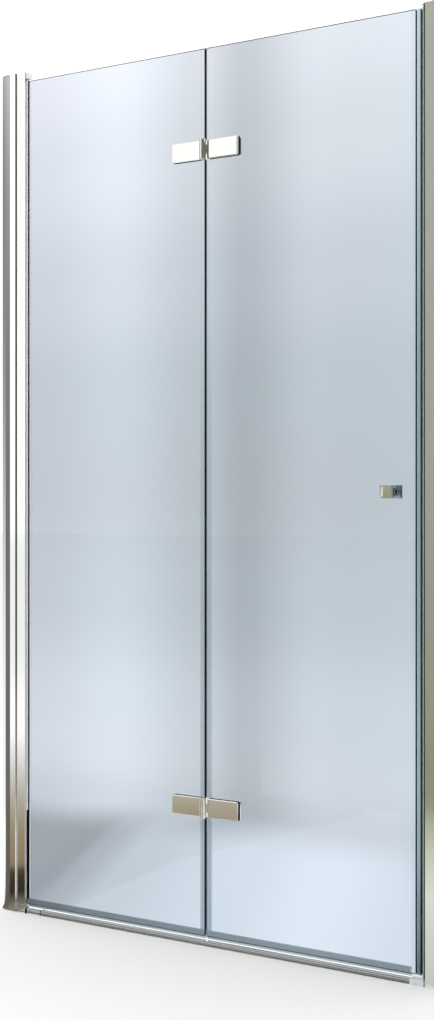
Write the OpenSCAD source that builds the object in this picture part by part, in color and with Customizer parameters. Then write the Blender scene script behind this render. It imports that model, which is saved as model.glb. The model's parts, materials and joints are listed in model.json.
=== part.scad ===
// Folding shower door with two clear glass leaves between two wall jambs.
// Units are millimetres. X runs to the right along the doorway and Z runs up.
// Negative Y is the outside, where one stands before stepping in.
// The origin is the bottom centre of the doorway, in the middle plane of the glass.

/* [Doorway] */
// Overall width from wall to wall
overall_w = 1126; // [900:1:1400]
// Height of the left jamb, which is the tallest piece
overall_h = 1900; // [1750:1:2200]
// How much lower the right jamb ends
right_jamb_drop = 12; // [0:1:25]
// How far the folding joint sits left of the middle of the span
joint_shift = 4.2; // [0:0.1:20]

/* [Wall channels] */
// Width of a wall channel, from the wall to its mouth
channel_w = 44; // [38:1:60]
// Depth of a wall channel, front to back
channel_d = 32; // [30:1:44]
// Wall thickness of a channel
channel_wall = 1.8; // [1.2:0.1:2.2]
// Width of the flat land beside the mouth
land_w = 14.6; // [12:0.1:20]
// Radius of the swept face between the land and the wall
sweep_r = 60; // [50:1:120]
// Diameter of a wall screw hole
wall_hole_d = 5; // [4:0.5:7]
// Height of the lowest wall screw hole
wall_hole_low = 100; // [60:5:200]
// Distance of the highest wall screw hole below the left jamb's top
wall_hole_top_drop = 100; // [60:5:200]
// Distance between the two middle wall screw holes
wall_hole_middle_gap = 600; // [300:10:900]
// Thickness of a jamb's end cap
cap_t = 2.5; // [1.5:0.5:4]
// Height of the plug under an end cap
cap_plug_h = 8; // [4:1:15]
// Width of the plug under an end cap
cap_plug_w = 10; // [6:1:16]
// Depth of the plug under an end cap, front to back
cap_plug_d = 12; // [8:1:13]
// Gap between the plug under an end cap and the channel's back
cap_plug_gap = 1.2; // [0.5:0.1:3]
// How far the right cap reaches past its profile
right_cap_overhang = 8.5; // [4:0.5:9]
// Radius of the right cap's round corners
cap_corner_r = 6; // [3:0.5:10]

/* [Jamb profiles] */
// Depth of a jamb profile, front to back
profile_d = 25; // [24:0.5:27]
// Wall thickness of a jamb profile
profile_wall = 1.8; // [1.2:0.1:2.2]
// How far a profile slides into its wall channel
profile_insert = 20; // [16:1:26]
// How far the left profile reaches out of its channel
left_profile_reach = 25.8; // [24:0.2:40]
// How far the right profile reaches out of its channel
right_profile_reach = 15.8; // [10:0.2:30]
// Distance of the left profile's web from its channel's mouth
web_setback = 3; // [2:0.5:6]
// Sliding gap between a profile's guide ribs and its channel
guide_gap = 0.1; // [0.05:0.05:0.3]
// Width of a guide rib
guide_rib_w = 2; // [1.5:0.5:3]
// Distance of the inner guide rib from the inner end of the flat land
guide_rib_inset = 0.6; // [0.2:0.1:1]
// Distance of the outer guide rib's start from the channel's mouth
guide_rib_setback = 4; // [3:0.5:5]
// Height of the foot under the left profile
foot_h = 19.5; // [17:0.5:30]
// Diameter of a profile screw
profile_screw_d = 3.8; // [3:0.1:4.5]
// Diameter of a profile screw's pan head
profile_screw_head_d = 8; // [6:0.5:9]
// Height of a profile screw's pan head
profile_screw_head_h = 2.4; // [1.5:0.1:3]
// Grip of a profile screw past the profile's wall
profile_screw_grip = 4; // [2:0.5:8]
// Distance of the end screws from the ends of a profile
profile_screw_inset = 200; // [100:10:400]

/* [Pivot stile] */
// Distance of the pivot axis behind the left profile's lip
pivot_setback = 7.8; // [7:0.1:9]
// Diameter of the round pivot stile
stile_d = 16; // [15:0.5:17]
// Gap between the stile and its round seat
seat_gap = 0.6; // [0.4:0.1:1]
// Wall thickness of the round seat
seat_wall = 1.8; // [1.2:0.1:2]
// Angle round the pivot axis at which the seat starts, behind the stile
seat_back_angle = 146; // [140:1:150]
// Angle round the pivot axis at which the seat ends, in front of the stile
seat_front_angle = 250; // [246:1:254]
// Wall left between a pivot pin and the slot for the glass
slot_floor_wall = 1; // [0.8:0.1:1.5]
// Reach of the stile's glass jaws from the pivot axis
jaw_reach = 10.5; // [10:0.1:11]
// Thickness of one jaw of the stile
jaw_wall = 2; // [1.2:0.1:2.2]
// Thickness of the wedge gasket in front of the glass
wedge_t = 1.5; // [1:0.1:2]
// How far the wedge gasket stands out of the jaws
wedge_lip = 2.5; // [1:0.1:3]
// Height of the lower stretch where the gasket also covers the jaw
boot_top = 233; // [100:1:400]
// Thickness of the gasket where it covers the jaw
boot_t = 0.7; // [0.5:0.1:1]
// Width of the gasket where it covers the jaw
boot_w = 2; // [1:0.5:4]

/* [Pivots] */
// Diameter of a pivot pin
pivot_pin_d = 6; // [5:0.5:6]
// How far a pivot pin reaches into the stile
pivot_pin_grip = 40; // [20:1:80]
// Diameter of a pivot pin's collar
collar_d = 14; // [12:0.5:15]
// Thickness of the lower pivot's collar
collar_t = 2.6; // [2:0.1:4]
// Wall thickness of a pivot bush
bush_wall = 3; // [2:0.5:3.5]
// Width of a pivot bush's flange around its body
bush_flange_w = 1.2; // [0.8:0.1:1.6]
// Material left past the closed end of a bush's hole
bush_floor = 1; // [0.8:0.1:1.5]
// Thickness of a pivot bush's flange
bush_flange_t = 0.8; // [0.5:0.1:1]
// Running clearance, on the radius, of a pin that turns
running_gap = 0.05; // [0.02:0.01:0.08]
// Free gap between a turning end face and the face it runs against
end_gap = 0.3; // [0.2:0.1:0.5]
// Depth of the pivot blocks, front to back
block_d = 16; // [15:0.5:18]
// Height of the top pivot block
top_block_h = 13.5; // [12:0.5:16]
// Reach of the top pivot block to the right of the left profile's lip
top_block_reach = 3.3; // [2:0.1:12]
// Reach of the bottom pivot block to the right of the left profile's lip
bottom_block_reach = 43.4; // [30:0.2:60]
// Depth of the bottom pivot block, front to back
bottom_block_d = 20; // [18:0.5:21]
// Height of the bottom pivot block
bottom_block_h = 11.5; // [10:0.5:12]
// Thickness of the rubber pads at the ends of the bottom block's visible part
block_pad_t = 2; // [1:0.1:3]
// How far the pad beside the left profile's lip sits behind the lip's front
lip_pad_inset = 0.3; // [0:0.1:1]
// Diameter of a small block screw
block_screw_d = 3.9; // [3:0.1:4.5]
// Diameter of a small block screw's head
block_screw_head_d = 7; // [6:0.5:8]
// Height of a small block screw's head
block_screw_head_h = 2; // [1:0.1:2.5]
// Grip of a small block screw in its block
block_screw_grip = 5; // [3:0.5:6]
// Distance of each small block screw from the middle plane
block_screw_y = 4.5; // [4:0.1:5]
// Diameter of the adjusting screw in the bottom block
adjuster_d = 6; // [4:0.5:7]
// Length of the adjusting screw
adjuster_len = 6; // [4:0.5:8]
// How deep the adjusting screw sits in its hole
adjuster_sink = 0.6; // [0.2:0.1:1.5]
// Distance of the adjusting screw from the left profile's lip
adjuster_offset = 12.6; // [8:0.2:24]
// Size of a small hex socket, across its corners
small_socket_d = 3.2; // [2:0.1:3.6]
// Depth of a profile screw's socket
small_socket_depth = 1.4; // [0.8:0.1:1.8]
// Depth of a hinge screw's or an adjusting screw's socket
socket_depth = 2; // [1:0.1:2.6]

/* [Glass] */
// Thickness of the glass
glass_t = 6; // [5:1:8]
// Height of the glass leaves' lower edge above the floor
glass_low = 19.5; // [18:0.5:24]
// Height of the left jamb above the glass leaves' upper edge
glass_top_drop = 18.5; // [17:0.5:24]
// Play between a glass edge or a seal's end and the piece beside it
glass_play = 0.2; // [0.1:0.1:0.5]
// Gap between the two glass edges at the folding joint
joint_gap = 5; // [4:0.5:8]

/* [Seals] */
// Thickness of a seal's clip legs
seal_wall = 1.2; // [0.8:0.1:1.4]
// Overlap of the joint seals on the glass
joint_seal_grip = 11; // [8:0.5:16]
// Free gap between the two joint seals
joint_seal_gap = 0.5; // [0.4:0.1:1]
// Gap between a joint seal's end and a hinge
seal_hinge_gap = 1; // [0.5:0.1:3]
// Overlap of the drip seals on the glass
drip_seal_grip = 13.1; // [8:0.5:20]
// Thickness of a drip seal's fin
drip_fin_t = 1; // [0.6:0.1:1.5]
// Free gap between a drip fin and the threshold strip
drip_gap = 0.9; // [0.6:0.1:1.5]
// How far a drip seal runs past the glass at the folding joint
drip_overrun = 1; // [0:0.1:1.5]
// How far the drip fin leans to the inside
drip_lean = 3; // [1:0.5:5]
// Overlap of the magnetic seal on the glass
magnet_seal_grip = 10; // [8:0.5:16]
// Width of the magnetic seal's hollow bridge
magnet_bridge_w = 8; // [5:0.1:12]
// Width of the magnetic seal's head
magnet_head_w = 4.3; // [4:0.1:6]
// Depth of the magnetic seal's head, front to back
magnet_head_d = 10; // [9:0.5:12]
// Thickness of a magnet bar
magnet_bar_t = 2.4; // [1.5:0.1:2.6]
// Width of a magnet bar
magnet_bar_w = 6.4; // [5:0.1:7]
// Distance of a magnet bar's ends from the ends of its strip
magnet_bar_inset = 2; // [1:0.5:10]
// Thickness of the jamb strip's wall around its magnet bar
magnet_wall = 0.7; // [0.5:0.1:1.5]
// Gap between the closed leaf and the jamb's magnetic strip
closing_gap = 0.8; // [0.6:0.1:1.5]
// Width of the jamb's magnetic strip, out of its profile
jamb_strip_reach = 10.1; // [8:0.1:14]
// Depth of the stem that carries the jamb's magnetic strip, front to back
jamb_stem_d = 5; // [4:0.5:8]

/* [Hinges] */
// Drop of the upper hinge's centre below the left jamb's top
upper_hinge_drop = 232; // [150:1:400]
// Height of the lower hinge's centre
lower_hinge_z = 290; // [150:1:400]
// Length of a hinge plate, from the hinge axis to its end
plate_len = 82; // [70:1:100]
// Height of a hinge plate
plate_h = 39; // [34:1:50]
// Thickness of a hinge plate
plate_t = 5; // [4:0.5:6]
// Thickness of a hinge gasket
hinge_gasket_t = 1; // [0.5:0.1:2]
// How far a hinge gasket stops short of its plate, beside the barrel
gasket_setback = 1; // [0.5:0.1:3]
// Rim of an inside hinge gasket that shows round its clamp
gasket_rim = 0.8; // [0:0.1:1.5]
// Diameter of the hinge barrel
barrel_d = 13.6; // [12:0.2:14]
// Distance of the hinge axis in front of the hinge plates
barrel_out = 6; // [6:0.5:8]
// Height of the middle knuckle
middle_knuckle_h = 19; // [14:0.5:24]
// Diameter of a hinge pin
hinge_pin_d = 6; // [5:0.5:7]
// Height of a hinge pin's end button
pin_button_h = 2.2; // [1:0.1:4]
// How much smaller an end button is than the barrel, on the radius
pin_button_step = 0.3; // [0:0.1:1]
// Gap between a knuckle and the other leaf's plate
knuckle_gap = 0.3; // [0.2:0.1:0.5]
// How far a knuckle's foot stops short of the back of its plate
knuckle_foot_step = 1; // [0.5:0.1:2]
// Distance of the first hinge screw from the hinge axis
hinge_screw_near = 28; // [24:1:34]
// Distance of the second hinge screw from the hinge axis
hinge_screw_far = 62; // [50:1:66]
// Diameter of a hinge screw
hinge_screw_d = 6; // [5:0.5:6]
// Diameter of a hinge screw's head
hinge_screw_head_d = 11; // [9:0.5:12]
// Height of a hinge screw's head
hinge_screw_head_h = 3; // [2:0.1:3.2]
// Metal left in front of a hinge screw's hole
plate_skin = 2; // [1.5:0.1:2.5]
// Diameter of the boss that passes through the glass
boss_d = 12; // [10:0.5:12]
// Diameter of the glass hole around a boss
boss_hole_d = 14; // [13:0.5:16]
// Size of a hex socket, across its corners
hex_socket_d = 4.6; // [3:0.1:5]

/* [Knobs] */
// Height of the knobs' centre
knob_z = 950.5; // [800:0.5:1200]
// Distance of the knobs' centre from the right leaf's glass edge
knob_inset = 54.4; // [40:0.2:100]
// How far a knob stands out of the glass
knob_reach = 23; // [20:0.5:40]
// Side of a knob's square head
knob_head = 26; // [22:0.5:40]
// Thickness of a knob's square head
knob_head_t = 6; // [5:0.5:10]
// Width of the bevel round the head
knob_bevel_w = 5.6; // [3:0.1:8]
// Depth of the bevel round the head
knob_bevel_t = 1.8; // [1:0.1:3]
// Diameter of a knob's neck
knob_neck_d = 17.6; // [14:0.2:20]
// Diameter of a knob's round base
knob_base_d = 21; // [20.5:0.5:24]
// Thickness of a knob's round base
knob_base_t = 2.5; // [1.5:0.5:4]
// Thickness of the washers between a knob and the glass
knob_washer_t = 1; // [0.5:0.1:1.5]
// Reach of the stud past the glass, on each side
knob_stud_grip = 12; // [8:0.5:14]
// Diameter of the stud that joins the knobs
knob_stud_d = 6; // [5:0.5:8]
// Diameter of the glass hole for the stud
knob_hole_d = 12; // [10:0.5:14]

/* [Threshold] */
// Height of the threshold strip
strip_h = 12; // [9:0.5:13]
// Depth of the threshold strip, front to back
strip_d = 20; // [18:0.5:24]
// Number of fine ribs along the front of the strip
strip_ribs = 3; // [2:1:4]
// Depth of the grooves between the ribs
strip_groove_t = 0.8; // [0.4:0.1:1.5]
// Height of a groove between the ribs
strip_groove_h = 1; // [0.6:0.1:1.6]
// Length of the strip's right end cap
end_cap_len = 29.8; // [20:0.2:40]
// Distance of the end cap's broad part from the right profile
end_cap_gap = 5; // [2:0.5:10]
// Depth of the end cap's tongue, front to back
end_cap_tongue_d = 10; // [6:0.5:16]
// How much lower the tongue is than the strip
end_cap_step = 2; // [1:0.5:4]

/* [Hidden] */

// Clearance of a pressed or screwed piece in its own hole
snug = 0.02;
// Clearance, on the radius, round a sunk head, a boss or a washer's stud
loose_gap = 0.1;
// Gap between the tip of a screw, stud or pin and the end of its hole
tip_gap = 0.5;
// Overlap that joins two shapes of one piece
lap = 0.5;
// Overshoot of a cutting shape past the face it cuts
over = 1;
$fn = 96;
sweep_fn = 240;

wall_x = overall_w / 2;
left_mouth_x = -wall_x + channel_w;
right_mouth_x = wall_x - channel_w;
left_lip_x = left_mouth_x + left_profile_reach;
right_nose_x = right_mouth_x - right_profile_reach;
right_jamb_h = overall_h - right_jamb_drop;
left_jamb_top = overall_h - cap_t;
right_jamb_top = right_jamb_h - cap_t;

pivot_x = left_lip_x - pivot_setback;
jamb_strip_x = right_nose_x - jamb_strip_reach;
leaf_nose_x = jamb_strip_x - closing_gap;
hinge_x = (pivot_x + leaf_nose_x) / 2 - joint_shift;

stile_r = stile_d / 2;
seat_r = stile_r + seat_gap;
seat_ring_r = seat_r + seat_wall;
seat_back_x = pivot_x - seat_ring_r;
left_web_x = left_mouth_x + web_setback;
pivot_pin_r = pivot_pin_d / 2;
bush_r = pivot_pin_r + running_gap + bush_wall;
slot_floor = pivot_pin_r + slot_floor_wall;
jaw_half_d = glass_t / 2 + wedge_t + jaw_wall;
jaw_x = pivot_x + jaw_reach;

glass_top = overall_h - glass_top_drop;
left_glass_x0 = pivot_x + slot_floor + glass_play;
left_glass_x1 = hinge_x - joint_gap / 2;
right_glass_x0 = hinge_x + joint_gap / 2;
right_glass_x1 = leaf_nose_x - magnet_head_w - magnet_bridge_w - seal_wall;

seal_half_d = glass_t / 2 + seal_wall;
drip_seal_top = glass_low + drip_seal_grip;
drip_clip_low = glass_low - seal_wall;
stile_low = drip_seal_top + glass_play;

plate_back_y = -glass_t / 2 - hinge_gasket_t;
plate_front_y = plate_back_y - plate_t;
hinge_y = plate_front_y - barrel_out;
barrel_r = barrel_d / 2;
plate_start = barrel_r + knuckle_gap;
upper_hinge_z = overall_h - upper_hinge_drop;
hinge_heights = [lower_hinge_z, upper_hinge_z];
seal_cut_half_h = plate_h / 2 + gasket_rim + seal_hinge_gap;
clamp_y0 = glass_t / 2 + hinge_gasket_t;
clamp_y1 = clamp_y0 + plate_t;

// Stretches of the joint seals, which stop above and below each hinge
joint_seal_spans = [
    [drip_seal_top + glass_play, lower_hinge_z - seal_cut_half_h],
    [lower_hinge_z + seal_cut_half_h, upper_hinge_z - seal_cut_half_h],
    [upper_hinge_z + seal_cut_half_h, glass_top]
];

block_low_z = overall_h - top_block_h;
block_back_x = left_web_x + profile_wall;
block_screw_z = (block_low_z + left_jamb_top) / 2;
top_bush_low = block_low_z - bush_flange_t;
adjuster_x = left_lip_x + adjuster_offset;
knob_x = right_glass_x1 - knob_inset;
strip_x0 = left_lip_x + bottom_block_reach;
bottom_block_x1 = strip_x0 - block_pad_t;
end_cap_x1 = right_nose_x - end_cap_gap;
end_cap_x0 = end_cap_x1 - end_cap_len;

profile_half_d = profile_d / 2;
guide_half_d = channel_d / 2 - channel_wall - guide_gap;
jamb_head_w = magnet_bar_t + 2 * magnet_wall;
jamb_strip_low = strip_h + end_gap;

wall_hole_high = overall_h - wall_hole_top_drop;
wall_hole_heights = [
    wall_hole_low,
    (wall_hole_low + wall_hole_high - wall_hole_middle_gap) / 2,
    (wall_hole_low + wall_hole_high + wall_hole_middle_gap) / 2,
    wall_hole_high
];

polished = "#d5d7d8";
chrome = "#c3c0b4";
clear_glass = [0.80, 0.86, 0.92, 0.45];
clear_seal = [0.72, 0.76, 0.80, 0.8];
black_rubber = "#15171a";
white_plastic = "#e9eaea";
grey_plastic = "#9aa0a4";
magnet_dark = "#35383c";
steel = "#a9abac";

// An upright bar between two heights, from an outline seen from above
module upright(z0, z1) {
    translate([0, 0, z0])
        linear_extrude(height = z1 - z0)
            children();
}

// A box given by its two corners
module block(low, high) {
    translate(low)
        cube(high - low);
}

// A flat rectangle given by its two corners
module plane_box(low, high) {
    translate(low)
        square(high - low);
}

// Two equal flat rectangles, one on each side of the line y = 0
module plane_pair(x0, x1, near, far) {
    plane_box([x0, near], [x1, far]);
    plane_box([x0, -far], [x1, -near]);
}

// Outline of a wall channel's outside, or of its hollow, with the wall at x = 0
module channel_shape(inset, x0, x1) {
    half = channel_d / 2 - inset;
    land_x = channel_w - land_w;
    plane_box([land_x - lap, -half], [x1, half]);
    intersection() {
        plane_box([x0, -half], [land_x, half]);
        translate([land_x, sweep_r - channel_d / 2])
            circle(r = sweep_r - inset, $fn = sweep_fn);
        translate([land_x, channel_d / 2 - sweep_r])
            circle(r = sweep_r - inset, $fn = sweep_fn);
    }
}

module wall_channel(height) {
    difference() {
        upright(0, height)
            difference() {
                channel_shape(0, 0, channel_w);
                channel_shape(channel_wall, channel_wall, channel_w + over);
            }
        for (z = wall_hole_heights)
            translate([-over, 0, z])
                rotate([0, 90, 0])
                    cylinder(d = wall_hole_d, h = channel_wall + 2 * over);
        profile_screw_holes(height);
    }
}

function profile_screw_heights(height) =
    [profile_screw_inset, height / 2, height - profile_screw_inset];

// Front and back walls of a profile, with the ribs that guide them in the channel
module profile_walls(mouth, front_end, back_end) {
    inner = profile_half_d - profile_wall;
    plane_box([mouth - profile_insert, -profile_half_d], [front_end, -inner]);
    plane_box([mouth - profile_insert, inner], [back_end, profile_half_d]);
    for (x = [mouth - land_w + guide_rib_inset, mouth - guide_rib_setback])
        plane_pair(x, x + guide_rib_w, profile_half_d - lap, guide_half_d);
}

// Web that joins the two walls of a profile
module profile_web(x) {
    half = profile_half_d - lap;
    plane_box([x, -half], [x + profile_wall, half]);
}

// Holes for the screws that fix a profile in its channel, with the wall at x = 0
module profile_screw_holes(height) {
    for (z = profile_screw_heights(height))
        translate([channel_w - profile_insert / 2, 0, z])
            rotate([-90, 0, 0])
                cylinder(r = profile_screw_d / 2 + snug, h = channel_d);
}

module profile_screws(height) {
    shank_y0 = profile_half_d - profile_wall - profile_screw_grip;
    for (z = profile_screw_heights(height))
        translate([channel_w - profile_insert / 2, 0, z])
            rotate([-90, 0, 0])
                difference() {
                    union() {
                        translate([0, 0, shank_y0])
                            cylinder(d = profile_screw_d, h = channel_d / 2 - shank_y0 + lap);
                        translate([0, 0, channel_d / 2])
                            cylinder(d = profile_screw_head_d, h = profile_screw_head_h);
                    }
                    translate([0, 0, channel_d / 2 + profile_screw_head_h - small_socket_depth])
                        cylinder(d = small_socket_d, h = small_socket_depth + over, $fn = 6);
                }
}

// Round seat that the stile turns in, as a slice of a ring round the pivot axis
module stile_seat() {
    steps = 4;
    reach = 2 * seat_ring_r;
    angles = [for (i = [0 : steps]) seat_back_angle + i * (seat_front_angle - seat_back_angle) / steps];
    sector = [for (angle = angles) reach * [cos(angle), sin(angle)]];
    intersection() {
        difference() {
            circle(r = seat_ring_r);
            circle(r = seat_r);
        }
        polygon(concat([[0, 0]], sector));
    }
}

module left_profile_outline() {
    seat_rib_x = pivot_x + seat_ring_r * cos(seat_front_angle) - seat_wall / 2;
    profile_walls(left_mouth_x, left_lip_x, pivot_x - stile_r);
    profile_web(left_web_x);
    plane_box([left_web_x + lap, -seat_wall / 2], [seat_back_x + lap, seat_wall / 2]);
    translate([pivot_x, 0])
        stile_seat();
    plane_box([seat_rib_x, -profile_half_d + lap],
              [seat_rib_x + seat_wall, seat_ring_r * sin(seat_front_angle) + lap]);
}

module left_wall_channel() {
    color(polished)
        translate([-wall_x, 0, 0])
            wall_channel(left_jamb_top);
}

module left_jamb_profile() {
    color(polished)
        difference() {
            upright(foot_h, left_jamb_top)
                left_profile_outline();
            translate([-wall_x, 0, 0])
                profile_screw_holes(left_jamb_top);
            block([block_back_x, -profile_half_d + profile_wall, block_low_z - end_gap],
                  [left_lip_x + over, profile_half_d + over, left_jamb_top + over]);
            for (y = [-block_screw_y, block_screw_y])
                translate([left_mouth_x, y, block_screw_z])
                    rotate([0, 90, 0])
                        cylinder(r = block_screw_d / 2 + snug, h = block_back_x - left_mouth_x + over);
        }
}

// Plug under a jamb's cap that locates it in the channel, with the wall at x = 0
module cap_plug(under_z) {
    x0 = channel_wall + cap_plug_gap;
    block([x0, -cap_plug_d / 2, under_z - cap_plug_h], [x0 + cap_plug_w, cap_plug_d / 2, under_z + lap]);
}

module left_jamb_cap() {
    color(chrome) {
        upright(left_jamb_top, overall_h) {
            translate([-wall_x, 0])
                channel_shape(0, 0, channel_w);
            plane_box([left_mouth_x - lap, -profile_half_d], [left_lip_x, profile_half_d]);
        }
        translate([-wall_x, 0, 0])
            cap_plug(left_jamb_top);
    }
}

module left_jamb_foot() {
    color(polished)
        difference() {
            upright(0, foot_h)
                plane_box([left_mouth_x + snug, -profile_half_d], [left_lip_x, profile_half_d]);
            block([seat_back_x, -bottom_block_d / 2 - snug, -over],
                  [left_lip_x + over, profile_half_d + over, foot_h + over]);
        }
}

module left_profile_screws() {
    color(steel)
        translate([-wall_x, 0, 0])
            profile_screws(left_jamb_top);
}

// A plain bush with a flange at z = 0 and its body running up from there
module bush(length) {
    difference() {
        union() {
            cylinder(r = bush_r, h = length);
            cylinder(r = bush_r + bush_flange_w, h = bush_flange_t);
        }
        translate([0, 0, -over])
            cylinder(r = pivot_pin_r + running_gap, h = length + 2 * over);
    }
}

module top_pivot_block() {
    right_x = left_lip_x + top_block_reach;
    color(white_plastic)
        difference() {
            union() {
                block([block_back_x, -block_d / 2, block_low_z], [right_x, block_d / 2, left_jamb_top]);
                block([left_lip_x + snug, -block_d / 2, left_jamb_top - lap],
                      [right_x, block_d / 2, overall_h]);
            }
            translate([pivot_x, 0, block_low_z - over])
                cylinder(r = bush_r + snug, h = left_jamb_top - bush_floor - block_low_z + over);
            for (y = [-block_screw_y, block_screw_y])
                translate([block_back_x - over, y, block_screw_z])
                    rotate([0, 90, 0])
                        cylinder(r = block_screw_d / 2 + snug, h = block_screw_grip + over);
        }
}

module top_pivot_bush() {
    color(grey_plastic)
        translate([pivot_x, 0, top_bush_low])
            bush(left_jamb_top - bush_floor - snug - top_bush_low);
}

module top_block_screws() {
    color(steel)
        for (y = [-block_screw_y, block_screw_y])
            translate([left_web_x - block_screw_head_h, y, block_screw_z])
                rotate([0, 90, 0]) {
                    cylinder(d = block_screw_head_d, h = block_screw_head_h);
                    cylinder(d = block_screw_d,
                             h = block_screw_head_h + profile_wall + block_screw_grip - snug);
                }
}

module bottom_pivot_block() {
    color(chrome)
        difference() {
            block([seat_back_x, -bottom_block_d / 2, 0],
                  [bottom_block_x1, bottom_block_d / 2, bottom_block_h]);
            translate([pivot_x, 0, bush_floor])
                cylinder(r = bush_r + snug, h = bottom_block_h);
            translate([adjuster_x, -bottom_block_d / 2 - over, bottom_block_h / 2])
                rotate([-90, 0, 0])
                    cylinder(r = adjuster_d / 2 + snug, h = adjuster_len + adjuster_sink + over);
        }
}

module bottom_pivot_bush() {
    color(grey_plastic)
        translate([pivot_x, 0, bottom_block_h + bush_flange_t])
            mirror([0, 0, 1])
                bush(bottom_block_h - bush_floor - snug + bush_flange_t);
}

module bottom_block_screw() {
    color(steel)
        translate([adjuster_x, -bottom_block_d / 2 + adjuster_sink, bottom_block_h / 2])
            rotate([-90, 0, 0])
                difference() {
                    cylinder(d = adjuster_d, h = adjuster_len);
                    translate([0, 0, -over])
                        cylinder(d = small_socket_d, h = socket_depth + over, $fn = 6);
                }
}

// One pad fills the joint to the threshold strip, the other the corner beside the profile's lip
module bottom_block_pads() {
    color(black_rubber) {
        block([bottom_block_x1, -strip_d / 2, 0], [strip_x0, strip_d / 2, strip_h]);
        block([left_lip_x, -profile_half_d + lip_pad_inset, 0],
              [left_lip_x + block_pad_t, -bottom_block_d / 2, bottom_block_h]);
    }
}

// Section of the threshold strip in the Y and Z plane, with grooves along its front
module strip_section() {
    pitch = strip_h / strip_ribs;
    difference() {
        plane_box([-strip_d / 2, 0], [strip_d / 2, strip_h]);
        for (i = [1 : strip_ribs])
            translate([-strip_d / 2, (i - 1 / 2) * pitch])
                plane_box([-over, -strip_groove_h / 2], [strip_groove_t, strip_groove_h / 2]);
    }
}

module threshold_strip() {
    color(polished)
        translate([strip_x0, 0, 0])
            rotate([90, 0, 90])
                linear_extrude(height = end_cap_x0 - strip_x0)
                    strip_section();
}

module threshold_end_cap() {
    color(white_plastic) {
        block([end_cap_x0, -strip_d / 2, 0], [end_cap_x1, strip_d / 2, strip_h]);
        block([end_cap_x1 - lap, -end_cap_tongue_d / 2, 0],
              [right_nose_x, end_cap_tongue_d / 2, strip_h - end_cap_step]);
    }
}

module right_wall_channel() {
    color(polished)
        translate([wall_x, 0, 0])
            mirror([1, 0, 0])
                wall_channel(right_jamb_top);
}

// Outline of the right profile, drawn from the wall at x = 0 as the left one is
module right_profile_outline() {
    nose = channel_w + right_profile_reach;
    profile_walls(channel_w, nose, nose);
    profile_web(nose - profile_wall);
}

module right_jamb_profile() {
    color(polished)
        translate([wall_x, 0, 0])
            mirror([1, 0, 0])
                difference() {
                    upright(0, right_jamb_top)
                        right_profile_outline();
                    profile_screw_holes(right_jamb_top);
                }
}

// Outline of the right cap, which reaches past the profile with two round corners
module right_cap_outline() {
    nose = channel_w + right_profile_reach + right_cap_overhang;
    corner_x = nose - cap_corner_r;
    corner_y = profile_half_d - cap_corner_r;
    channel_shape(0, 0, channel_w);
    plane_box([channel_w - lap, -profile_half_d], [corner_x, profile_half_d]);
    plane_box([corner_x - lap, -corner_y], [nose, corner_y]);
    for (side = [-1, 1])
        translate([corner_x, side * corner_y])
            circle(r = cap_corner_r);
}

module right_jamb_cap() {
    color(chrome)
        translate([wall_x, 0, 0])
            mirror([1, 0, 0]) {
                upright(right_jamb_top, right_jamb_h)
                    right_cap_outline();
                cap_plug(right_jamb_top);
            }
}

module right_profile_screws() {
    color(steel)
        translate([wall_x, 0, 0])
            mirror([1, 0, 0])
                profile_screws(right_jamb_top);
}

module jamb_magnet_strip() {
    x0 = jamb_strip_x;
    half = magnet_head_d / 2;
    color(clear_seal)
        upright(jamb_strip_low, right_jamb_top)
            difference() {
                union() {
                    plane_box([x0, -half], [x0 + jamb_head_w, half]);
                    plane_box([x0 + jamb_head_w - lap, -jamb_stem_d / 2], [right_nose_x, jamb_stem_d / 2]);
                }
                magnet_pocket(x0 + jamb_head_w / 2);
            }
}

// Hollow that a magnet bar lies in, centred on x
module magnet_pocket(x) {
    plane_box([x - magnet_bar_t / 2 - snug, -magnet_bar_w / 2 - snug],
              [x + magnet_bar_t / 2 + snug, magnet_bar_w / 2 + snug]);
}

// A magnet bar centred on x, inside a strip that runs from z0 to z1
module magnet_bar(x, z0, z1) {
    upright(z0 + magnet_bar_inset, z1 - magnet_bar_inset)
        plane_box([x - magnet_bar_t / 2, -magnet_bar_w / 2], [x + magnet_bar_t / 2, magnet_bar_w / 2]);
}

module jamb_magnet_bar() {
    color(magnet_dark)
        magnet_bar(jamb_strip_x + jamb_head_w / 2, jamb_strip_low, right_jamb_top);
}

// A glass leaf between two edges, with the round holes listed as [x, z, diameter]
module glass_leaf(x0, x1, holes) {
    difference() {
        block([x0, -glass_t / 2, glass_low], [x1, glass_t / 2, glass_top]);
        for (hole = holes)
            translate([hole[0], -glass_t / 2 - over, hole[1]])
                rotate([-90, 0, 0])
                    cylinder(d = hole[2], h = glass_t + 2 * over);
    }
}

// Hinge holes of one leaf; side is -1 for the left leaf and 1 for the right leaf
function hinge_holes(side) = [
    for (z = hinge_heights, reach = [hinge_screw_near, hinge_screw_far])
        [hinge_x + side * reach, z, boss_hole_d]
];

module left_glass() {
    color(clear_glass)
        glass_leaf(left_glass_x0, left_glass_x1, hinge_holes(-1));
}

module right_glass() {
    color(clear_glass)
        glass_leaf(right_glass_x0, right_glass_x1,
                   concat(hinge_holes(1), [[knob_x, knob_z, knob_hole_d]]));
}

module pivot_stile() {
    color(polished)
        upright(stile_low, glass_top)
            translate([pivot_x, 0])
                difference() {
                    union() {
                        circle(d = stile_d);
                        plane_box([0, -jaw_half_d], [jaw_reach, glass_t / 2 + wedge_t + jaw_wall]);
                    }
                    circle(r = pivot_pin_r + snug);
                    plane_box([slot_floor, -glass_t / 2 - wedge_t], [jaw_reach + over, glass_t / 2]);
                }
}

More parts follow.
